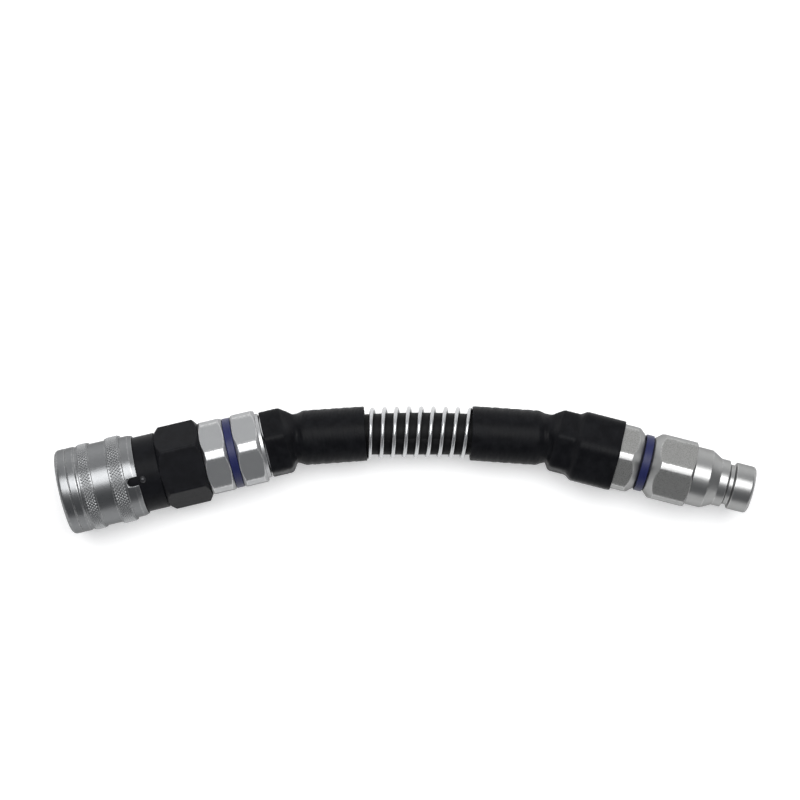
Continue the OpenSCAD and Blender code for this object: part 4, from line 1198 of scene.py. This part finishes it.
    def build(self) -> None:
        """Builds the shell with its notch, and the two bands of teeth."""
        shell = Turning("sleeve_shell", self.line, self._loop()).build()
        cutter = self._notch_cutter()
        cut = shell.modifiers.new("notch", "BOOLEAN")
        cut.object, cut.operation, cut.solver = cutter, "DIFFERENCE", "EXACT"
        graph = bpy.context.evaluated_depsgraph_get()
        whole = shell.data
        shell.data = bpy.data.meshes.new_from_object(shell.evaluated_get(graph), depsgraph=graph)
        shell.modifiers.clear()
        bpy.data.meshes.remove(whole)
        bpy.data.objects.remove(cutter)
        settle_piece(shell, Body.SLEEVE, ["locking_sleeve"], self.palette.satin)
        for name, span, radius in (
            ("front_knurl", self.front_knurl, self.front_knurl_r),
            ("rear_knurl", self.rear_knurl, self.rear_knurl_r),
        ):
            settle_piece(self._knurl(name, span, radius), Body.SLEEVE)


@dataclass
class CouplerBody:
    """The black body: front tube, shoulder and hexagon."""

    line: StraightLine
    palette: Palette
    front: float = 0.8 * MM
    tube_r: float = 19 * MM
    shoulder: float = 36.5 * MM
    body_r: float = 21.6 * MM
    hex_start: float = 56.6 * MM
    hex_end: float = 82.1 * MM
    flats: float = 42 * MM
    phase: float = 46.0
    turned_r: float = 24.1 * MM
    end_r: float = 20.7 * MM
    front_chamfer: float = 3.4 * MM
    rear_chamfer: float = 2.4 * MM
    port_r: float = 16.5 * MM
    port_start: float = 62 * MM
    guide_r: float = 15.05 * MM
    socket_r: float = 15.1 * MM
    socket_end: float = 5.8 * MM
    relief: tuple[float, float] = (0.6 * MM, 0.8 * MM)
    mouth_chamfer: float = 0.6 * MM
    ring_groove: tuple[float, float, float] = (5.1 * MM, 6.7 * MM, 18.2 * MM)

    def build(self) -> None:
        """Builds the body."""
        groove_low, groove_high, groove_r = self.ring_groove
        relief_end = self.socket_end + self.relief[1]
        relief_r = self.socket_r + self.relief[0]
        loop = [
            (self.front, self.socket_r + self.mouth_chamfer),
            *runs(
                (self.front, groove_low, self.tube_r),
                (groove_low, groove_high, groove_r),
                (groove_high, self.shoulder, self.tube_r),
                (self.shoulder, self.hex_start, self.body_r),
            ),
            (self.hex_start, self.end_r),
            *runs((self.hex_start + self.front_chamfer, self.hex_end - self.rear_chamfer, self.turned_r)),
            (self.hex_end, self.end_r),
            *runs(
                (self.hex_end, self.port_start, self.port_r),
                (self.port_start, relief_end, self.guide_r),
                (relief_end, self.socket_end, relief_r),
                (self.socket_end, self.front + self.mouth_chamfer, self.socket_r),
            ),
        ]
        flats = Hexagon(self.flats, self.hex_start + 0.05 * MM, self.hex_end, self.phase)
        body = Turning("body_shell", self.line, loop, [flats]).build()
        settle_piece(body, Body.ASSEMBLY, ["coupler_body"], self.palette.black)


@dataclass
class HoseAdapter:
    """The long hexagon between coupler and hose, with its waist and band."""

    line: StraightLine
    palette: Palette
    stub_start: float = 66.6 * MM
    stub_r: float = 16.45 * MM
    hex_start: float = 82.1 * MM
    hex_end: float = 115.1 * MM
    flats: float = 41 * MM
    turned_r: float = 22.4 * MM
    end_r: float = 20.2 * MM
    chamfer: float = 1.8 * MM
    phase: float = 6.0
    waist_r: float = 18.9 * MM
    waist_wall: float = 1 * MM
    waist_half: float = 2.3 * MM
    flank_run: float = 1.857 * MM
    collar_r: float = 18.7 * MM
    collar_end: float = 117 * MM
    thread_r: float = 13.6 * MM
    thread_end: float = 125.5 * MM
    bore_r: float = 8.5 * MM

    def build(self) -> None:
        """Builds the hexagon and the band."""
        middle = (self.hex_start + self.hex_end) / 2
        wall_r = self.waist_r + self.waist_wall
        low, high = middle - self.waist_half, middle + self.waist_half
        loop = [
            (self.stub_start, self.bore_r),
            *runs((self.stub_start, self.hex_start, self.stub_r)),
            (self.hex_start, self.end_r),
            *runs((self.hex_start + self.chamfer, low - self.flank_run, self.turned_r)),
            (low, wall_r),
            *runs((low, high, self.waist_r)),
            (high, wall_r),
            *runs((high + self.flank_run, self.hex_end - self.chamfer, self.turned_r)),
            (self.hex_end, self.end_r),
            *runs((self.hex_end, self.collar_end, self.collar_r), (self.collar_end, self.thread_end, self.thread_r)),
            (self.thread_end, self.bore_r),
        ]
        flats = Hexagon(self.flats, self.hex_start, self.hex_end, self.phase)
        hexagon = Turning("adapter_hexagon", self.line, loop, [flats]).build()
        settle_piece(hexagon, Body.ASSEMBLY, ["hex_adapter"], self.palette.zinc)
        band = marking_band("adapter_marking_band", self.line, middle, self.waist_r)
        settle_piece(band, Body.ASSEMBLY, ["adapter_band"], self.palette.band)


def marking_band(name: str, line: Line, middle: float, floor_r: float) -> Piece:
    """Builds a bare marking band with soft edges.

    Args:
        name: Name of the piece.
        line: Axis of the band.
        middle: Level of its middle.
        floor_r: Radius of the groove that it lies in.

    Returns:
        The band.
    """
    low, high = middle - BAND_HALF, middle + BAND_HALF
    inner_r = floor_r + BAND_BOND
    outer_r = inner_r + BAND_WALL
    loop = [(low, inner_r), (low, outer_r), (high, outer_r), (high, inner_r)]
    return Turning(name, line, loop, edge=0.35 * MM, columns=240).build()


@dataclass
class PlugBody:
    """The plug: nose, ball groove, shank, hexagon and banded groove."""

    line: StraightLine
    palette: Palette
    bore_r: float = 8.05 * MM
    nose_r: float = 13.5 * MM
    nose_edge_r: float = 2 * MM
    nose_end: float = 11.2 * MM
    ball_groove_end: float = 15.4 * MM
    ball_groove_r: float = 11.5 * MM
    ball_groove_flank: float = 1 * MM
    collar_end: float = 20.1 * MM
    cone_end: float = 26.1 * MM
    shank_r: float = 16.8 * MM
    shank_end: float = 35.5 * MM
    flats: float = 37 * MM
    phase: float = -7.0
    turned_r: float = 20.3 * MM
    end_r: float = 18.2 * MM
    front_chamfer: float = 1.2 * MM
    rear_chamfer: float = 0.4 * MM
    length: float = 84 * MM
    band_at: float = 62.7 * MM
    groove_r: float = 15 * MM
    groove_half: float = 2.3 * MM
    groove_run: float = 5.886 * MM
    port_r: float = 13.5 * MM
    port_start: float = 72 * MM
    guide_r: float = 12 * MM
    guide_start: float = 48 * MM
    cavity_r: float = 11 * MM
    cavity_start: float = 19.95 * MM
    land_end: float = 17 * MM

    def build(self) -> None:
        """Builds the plug and its band."""
        low, high = self.band_at - self.groove_half, self.band_at + self.groove_half
        loop = [
            (0, self.bore_r),
            *rounded_edge(0, self.nose_r, self.nose_edge_r),
            (self.nose_end, self.nose_r),
            (self.nose_end + self.ball_groove_flank, self.ball_groove_r),
            (self.ball_groove_end - self.ball_groove_flank, self.ball_groove_r),
            *runs(
                (self.ball_groove_end, self.collar_end, self.nose_r),
                (self.cone_end, self.shank_end, self.shank_r),
            ),
            (self.shank_end, self.end_r),
            *runs(
                (self.shank_end + self.front_chamfer, low - self.groove_run, self.turned_r),
                (low, high, self.groove_r),
                (high + self.groove_run, self.length - self.rear_chamfer, self.turned_r),
            ),
            (self.length, self.end_r),
            *runs(
                (self.length, self.port_start, self.port_r),
                (self.port_start, self.guide_start, self.guide_r),
                (self.guide_start, self.cavity_start, self.cavity_r),
            ),
            (self.land_end, self.bore_r),
        ]
        flats = Hexagon(self.flats, self.shank_end, self.length, self.phase)
        plug = Turning("plug_shell", self.line, loop, [flats]).build()
        settle_piece(plug, Body.ASSEMBLY, ["plug_body"], self.palette.plug)
        band = marking_band("plug_marking_band", self.line, self.band_at, self.groove_r)
        settle_piece(band, Body.ASSEMBLY, ["plug_band"], self.palette.band)


@dataclass
class Coil:
    """A helical spring of round wire about any line."""

    name: str
    line: Line
    low: float
    high: float
    turns: float
    mean_r: float
    wire_r: float
    start: float = 0.0
    per_turn: int = 40
    sides: int = 14

    def build(self, material: Material) -> Piece:
        """Sweeps the wire along its helix.

        Args:
            material: The wire's finish.

        Returns:
            The coil.
        """
        count = round(self.turns * self.per_turn)
        share = np.arange(count + 1) / count
        angle = math.radians(self.start + 90) - share * self.turns * 2 * math.pi
        points = self.line.place(self.low + share * (self.high - self.low), np.full(count + 1, self.mean_r), angle)
        ends = [points[0] + (points[0] - points[1]), points[-1] + (points[-1] - points[-2])]
        path = np.vstack([ends[0], points, ends[1]])
        mesh = bpy.data.meshes.new(self.name)
        mesh.from_pydata([tuple(p) for p in path], [(i, i + 1) for i in range(len(path) - 1)], [])
        return grow(self.name, mesh, wire_tree(), {"Wire radius": self.wire_r, "Sides": self.sides}, material)


@dataclass(frozen=True)
class InnerSpring:
    """A hidden spring, built at rest: what it replaces, and its sizes along its axis."""

    name: str
    node: str
    joint: str
    free_end: float
    fixed_end: float
    turns: float
    mean_r: float
    wire_r: float
    keep: float
    end_gap: float = 0.1 * MM

    def build(self, line: StraightLine, material: Material) -> None:
        """Builds the spring.

        Args:
            line: Its axis.
            material: The wire's finish.
        """
        inset = self.wire_r + self.end_gap
        coil = Coil(
            self.name, line, self.free_end + inset, self.fixed_end - inset, self.turns, self.mean_r, self.wire_r
        )
        piece = coil.build(material)
        settle_piece(piece, Body.ASSEMBLY, [self.node])
        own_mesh(piece)


COUPLER_SPRINGS = (
    InnerSpring(
        "sleeve_coil", "sleeve_spring", "sleeve_slide",
        free_end=14.8 * MM, fixed_end=36.5 * MM, turns=6, mean_r=20.325 * MM, wire_r=0.85 * MM, keep=0.72,
    ),
    InnerSpring(
        "valve_sleeve_coil", "valve_sleeve_spring", "valve_sleeve_slide",
        free_end=35 * MM, fixed_end=62 * MM, turns=5, mean_r=13.1 * MM, wire_r=0.8 * MM, keep=0.33,
    ),
)
PLUG_SPRINGS = (
    InnerSpring(
        "poppet_coil", "plug_valve_spring", "poppet_slide",
        free_end=22 * MM, fixed_end=48 * MM, turns=6, mean_r=8.6 * MM, wire_r=0.7 * MM, keep=0.61,
    ),
)


@dataclass
class HoseRun:
    """The hose cover and the spring guard round it."""

    line: BentLine
    sizes: LineSizes
    palette: Palette
    hose_r: float = 11.1 * MM
    cover_bore_r: float = 9.95 * MM
    end_inset: float = 10.6 * MM
    guard_r: float = 13.73 * MM
    wire_r: float = 1.12 * MM
    guard_half: float = 34.98 * MM
    guard_turns: float = 10.25
    guard_start: float = 61.0
    tape_depth: float = 0.05 * MM
    tape_pitch: float = 3.1 * MM
    tape_fade: float = 9.0
    lining_map: tuple[float, float, float] = (1 * MM, 120 * MM, 121 * MM)
    columns: int = 96
    rows: int = 420

    def build(self) -> None:
        """Builds the cover with its tape marks, then the guard."""
        low = self.sizes.coupler_run + self.end_inset
        high = self.sizes.total - self.sizes.plug_run - self.end_inset
        along = np.linspace(low, high, self.rows)
        angle = np.arange(self.columns) / self.columns * 2 * math.pi
        turns = np.mod((along[:, None] + self.tape_pitch * angle[None, :] / (2 * math.pi)) / self.tape_pitch, 1)
        outer = self.hose_r - self.tape_depth * np.exp(-turns * self.tape_fade)
        skin = self.line.place(along[:, None], outer, angle[None, :])
        lining = self.line.place(along[::-1, None], np.full((self.rows, 1), self.cover_bore_r), angle[None, :])
        points = np.vstack([skin, lining[:: self.rows - 1]])
        lengths = np.concatenate([along, along[-1] + np.array(self.lining_map)])
        cover = grid_object("hose_skin", points, True, lengths, 2 * math.pi * self.hose_r, {})
        settle_piece(cover, Body.ASSEMBLY, ["hose_cover"], self.palette.rubber)
        middle = self.sizes.hose_middle
        low, high = middle - self.guard_half, middle + self.guard_half
        coil = Coil(
            "guard_coil", self.line, low, high, self.guard_turns, self.guard_r, self.wire_r, self.guard_start
        )
        settle_piece(coil.build(self.palette.guard), Body.ASSEMBLY, ["spring_guard"])


@dataclass(frozen=True)
class Covered:
    """One shape under a heat-shrunk sleeve: round, or hexagonal with turned corners."""

    low: float
    high: float
    outer_r: float
    flats: float = 0.0
    phase: float = 0.0
    drape: float = 1.0
    blend: float = 1.2 * MM
    sharpness: float = 26.0
    ridges: int = 0
    ridge_depth: float = 0.0

    def outer(self, along: Array, angle: Array) -> Array:
        """Outer radius of the sleeve over this shape, falling away beyond its ends.

        Args:
            along: Distances along the line.
            angle: Angles round it.

        Returns:
            Radii.
        """
        radius = self.outer_r + 0 * along + 0 * angle
        if self.flats:
            centres = math.radians(self.phase + 30) + np.arange(6) * math.pi / 3
            facing = np.maximum(np.cos(angle[..., None] - centres), 0) ** self.sharpness
            flat = self.flats / 2 * facing.sum(axis=-1) ** (-1 / self.sharpness)
            gap = np.maximum(self.blend - np.abs(flat - radius), 0) / self.blend
            radius = np.minimum(flat, radius) - gap * gap * self.blend / 4
        if self.ridges:
            share = (along - self.low) / (self.high - self.low)
            radius = radius - self.ridge_depth * (0.5 - 0.5 * np.cos(2 * math.pi * self.ridges * share)) ** 3
        beyond = np.maximum(np.maximum(self.low - along, along - self.high), 0)
        return radius - self.drape * beyond


@dataclass
class ShrinkSleeve:
    """Heat-shrunk sleeving that clings to whatever it covers."""

    name: str
    node: str
    line: BentLine
    palette: Palette
    low: float
    high: float
    covered: Sequence[Covered]
    wall: float = 0.9 * MM
    waver: float = 0.4 * MM
    cling: float = 0.9 * MM
    lip: float = 0.25 * MM
    sways: Sequence[tuple[int, float, float]] = ((2, 0.6, 0.6), (5, 2.1, 0.3), (9, 0.0, 0.15))
    sway_shift: int = 31
    fold_depth: float = 0.05 * MM
    short_fold: float = 0.42 * MM
    long_fold: float = 1.9 * MM
    columns: int = 200
    rows: int = 220
    inner_rows: int = 40

    def build(self) -> None:
        """Builds the skin: what it covers, drawn smooth along its length, with wavering ends."""
        angle = np.arange(self.columns)[None, :] / self.columns * 2 * math.pi
        share = np.linspace(0, 1, self.rows)[:, None]
        sway = sum(np.sin(waves * angle + phase) * size for waves, phase, size in self.sways)
        low = self.low + self.waver * (1 + sway) / 2
        high = self.high - self.waver * (1 - np.roll(sway, self.sway_shift)) / 2
        along = low + share * (high - low)
        raw = np.maximum.reduce([shape.outer(along, angle) for shape in self.covered])
        step = (self.high - self.low) / (self.rows - 1)
        reach = int(3 * self.cling / step)
        weights = np.exp(-0.5 * (np.arange(-reach, reach + 1) * step / self.cling) ** 2)
        weights /= weights.sum()
        padded = np.pad(raw, ((reach, reach), (0, 0)), mode="edge")
        radius = sum(w * padded[i : i + self.rows] for i, w in enumerate(weights))
        short = np.sin(along / self.short_fold + 2 * np.sin(angle * 3))
        long = np.sin(along / self.long_fold + 3 * np.cos(angle * 2))
        radius = radius - self.fold_depth * (short * long)
        end = np.minimum(share, 1 - share) * (self.high - self.low)
        radius = radius - self.lip * np.exp(-end / self.lip)
        outer = self.line.place(along, radius, angle)
        picks = np.linspace(self.rows - 1, 0, self.inner_rows).astype(int)
        inner = self.line.place(along[picks], radius[picks] - self.wall, angle)
        points = np.vstack([outer, inner])
        lengths = np.arange(len(points) + 1) * step
        skin = grid_object(self.name, points, True, lengths, 2 * math.pi * float(radius.mean()), {})
        settle_piece(skin, Body.ASSEMBLY, [self.node], self.palette.shrink)


# Studio


@dataclass(frozen=True)
class SoftBox:
    """A rectangular lamp: where it hangs, its two sides and its power in watts."""

    name: str
    place: tuple[float, float, float]
    size: tuple[float, float]
    power: float

    def hang(self, aim: tuple[float, float, float]) -> None:
        """Hangs the lamp so that it faces a point."""
        lamp = bpy.data.lights.new(self.name, "AREA")
        lamp.shape = "RECTANGLE"
        lamp.size, lamp.size_y = self.size
        lamp.energy = self.power
        holder = add_object(self.name, lamp)
        holder.location = self.place
        holder.rotation_mode = "QUATERNION"
        holder.rotation_quaternion = (Vector(aim) - Vector(self.place)).to_track_quat("-Z", "Y")


@dataclass
class Studio:
    """Floor, lamps, room and camera."""

    aim: tuple[float, float, float] = (-3.3 * MM, 39.7 * MM, 25 * MM)
    distance: float = 1.1
    elevation: float = 88.0
    view_width: float = 457 * MM
    sensor: float = 36.0
    floor_r: float = 8.0
    wall_height: float = 2.0
    near_glow: float = 0.4
    glow_reach: tuple[float, float] = (0.5, 3.0)
    sides: int = 64
    clouds: Clouds = (3.0, 0.35, 0.65)
    floor_roughness: tuple[float, float] = (0.75, 0.8)
    pale: Colour = (0.77, 0.77, 0.77)
    shaded: Colour = (0.75, 0.75, 0.75)
    room: Colour = (0.22, 0.225, 0.235)
    boxes: Sequence[SoftBox] = (
        SoftBox("top_box", (0.0, 0.42, 1.5), (1.9, 1.0), 30.0),
        SoftBox("rear_box", (0.0, 1.6, 0.9), (2.4, 0.9), 5.0),
    )

    def _floor(self) -> None:
        """Lays a pale floor under the part, with a low wall far round it."""
        surface = Surface("pale_floor")
        board = surface.board
        clouds = surface.mottle(self.clouds)
        surface.feed("Base Color", board.blend(clouds, self.pale, self.shaded))
        surface.feed("Roughness", board.between(clouds, *self.floor_roughness))
        rays = board.add("ShaderNodeLightPath").outputs
        seen = board.math("MAXIMUM", rays["Is Camera Ray"], rays["Is Glossy Ray"])
        seen = board.math("MAXIMUM", seen, rays["Is Transmission Ray"])
        away = board.add("ShaderNodeVectorMath", {0: surface.space["Object"]}, operation="LENGTH").outputs["Value"]
        far = board.ranged(away, *self.glow_reach)
        glow = board.math("MULTIPLY", seen, board.between(far, self.near_glow, 1.0))
        surface.feed("Emission Color", board.blend(glow, (0.0, 0.0, 0.0), (1.0, 1.0, 1.0)))
        surface.shader.inputs["Emission Strength"].default_value = 1.0
        sides = self.sides
        corners = [
            (self.floor_r * math.cos(turn), self.floor_r * math.sin(turn), level)
            for level in (0.0, self.wall_height)
            for turn in (2 * math.pi * i / sides for i in range(sides))
        ]
        wall = [(i, sides + i, sides + (i + 1) % sides, (i + 1) % sides) for i in range(sides)]
        mesh = bpy.data.meshes.new("floor")
        mesh.from_pydata(corners, [], [tuple(range(sides)), *wall])
        mesh.materials.append(surface.material)
        add_object("floor", mesh)

    def _world(self) -> bpy.types.World:
        """Makes a plain dim room."""
        world = bpy.data.worlds.new("studio_world")
        world.use_nodes = True
        world.node_tree.nodes["Background"].inputs["Color"].default_value = (*self.room, 1.0)
        return world

    def build(self) -> None:
        """Builds the studio and sets the scene's camera."""
        scene = bpy.context.scene
        scene.view_settings.view_transform = "Standard"
        self._floor()
        scene.world = self._world()
        for box in self.boxes:
            box.hang(self.aim)
        lens = bpy.data.cameras.new("camera")
        lens.sensor_width = self.sensor
        lens.lens = self.sensor * self.distance / self.view_width
        holder = add_object("camera", lens)
        tilt = math.radians(self.elevation)
        back = Vector((0.0, -math.cos(tilt), math.sin(tilt)))
        holder.location = Vector(self.aim) + back * self.distance
        holder.rotation_mode = "QUATERNION"
        holder.rotation_quaternion = (-back).to_track_quat("-Z", "Y")
        scene.camera = holder


def mount_of(frame: dict, name: str) -> Array:
    """Reads the place of one of the record's mounts.

    Args:
        name: Name of the mount.

    Returns:
        Its point in metres.
    """
    return np.array(next(m["pos_m"] for m in frame["record"]["mounts"] if m["name"] == name))


def joint_axis(frame: dict, name: str) -> Array:
    """Reads the unit axis of one of the record's joints.

    Args:
        name: Name of the joint.

    Returns:
        The axis.
    """
    axis = np.array(next(j["axis"] for j in frame["joints"] if j["name"] == name))
    return axis / np.linalg.norm(axis)


@dataclass
class JumperHose:
    """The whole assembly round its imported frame."""

    frame: dict
    palette: Palette
    sizes: LineSizes = field(default_factory=LineSizes)
    socket_depth: float = 3.6 * MM
    nose_depth: float = 6.6 * MM
    plug_phase: float = 7.0

    def build(self) -> None:
        """Builds every visual piece."""
        ahead, back = joint_axis(self.frame, "sleeve_slide"), joint_axis(self.frame, "poppet_slide")
        normal = np.cross(ahead, back)
        normal /= np.linalg.norm(normal)
        face = mount_of(self.frame, "coupler_socket") - self.socket_depth * ahead
        tip = mount_of(self.frame, "plug_nose") - self.nose_depth * back
        coupler = StraightLine(face, ahead, normal)
        plug = StraightLine(tip, back, normal)
        spine = BentLine(face, ahead, normal, self.sizes)
        self.palette.dress_frame(self.frame)
        LockingSleeve(coupler, self.palette).build()
        CouplerBody(coupler, self.palette).build()
        HoseAdapter(coupler, self.palette).build()
        PlugBody(plug, self.palette).build()
        for axis, springs in ((coupler, COUPLER_SPRINGS), (plug, PLUG_SPRINGS)):
            for spring in springs:
                spring.build(axis, self.palette.spring)
        HoseRun(spine, self.sizes, self.palette).build()
        self._shrinks(spine)

    def _shrinks(self, spine: BentLine) -> None:
        """Builds the two heat-shrunk sleeves."""
        bend = self.sizes.coupler_run
        ferrule_end = bend + self.sizes.stem_run
        ferrule = {"outer_r": 15.75 * MM, "drape": 0.35, "ridges": 5, "ridge_depth": 0.3 * MM}
        neck = {"outer_r": 13.9 * MM, "drape": 0.4}
        guard_r = 15.6 * MM
        covered = [
            Covered(bend - 17 * MM, bend - 4 * MM, 20.5 * MM, flats=36.4 * MM, blend=2 * MM),
            Covered(bend - 4 * MM, bend + 6 * MM, **neck),
            Covered(bend + 7 * MM, ferrule_end, **ferrule),
            Covered(ferrule_end, ferrule_end + 6 * MM, guard_r),
        ]
        span = (bend - 15.8 * MM, ferrule_end + 4.8 * MM)
        ShrinkSleeve("coupler_shrink_skin", "coupler_heat_shrink", spine, self.palette, *span, covered).build()
        tip = self.sizes.total
        bend = tip - self.sizes.plug_run
        ferrule_end = bend - self.sizes.stem_run
        covered = [
            Covered(ferrule_end - 9 * MM, ferrule_end, guard_r),
            Covered(ferrule_end, bend - 7 * MM, **ferrule),
            Covered(bend - 6 * MM, bend + 4 * MM, **neck),
            Covered(bend + 4 * MM, tip - 100 * MM, 19.5 * MM, flats=34.4 * MM, blend=2 * MM),
            Covered(tip - 101.6 * MM, tip - 77 * MM, 21.85 * MM, flats=40.2 * MM, phase=self.plug_phase),
        ]
        span = (ferrule_end - 7.9 * MM, tip - 78.5 * MM)
        ShrinkSleeve("plug_shrink_skin", "plug_heat_shrink", spine, self.palette, *span, covered).build()


def main() -> None:
    """Loads the frame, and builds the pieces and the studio."""
    logging.basicConfig(level=logging.INFO, format="%(name)s: %(message)s")
    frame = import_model()
    JumperHose(frame, Palette()).build()
    Studio().build()


if __name__ == "__main__":
    main()
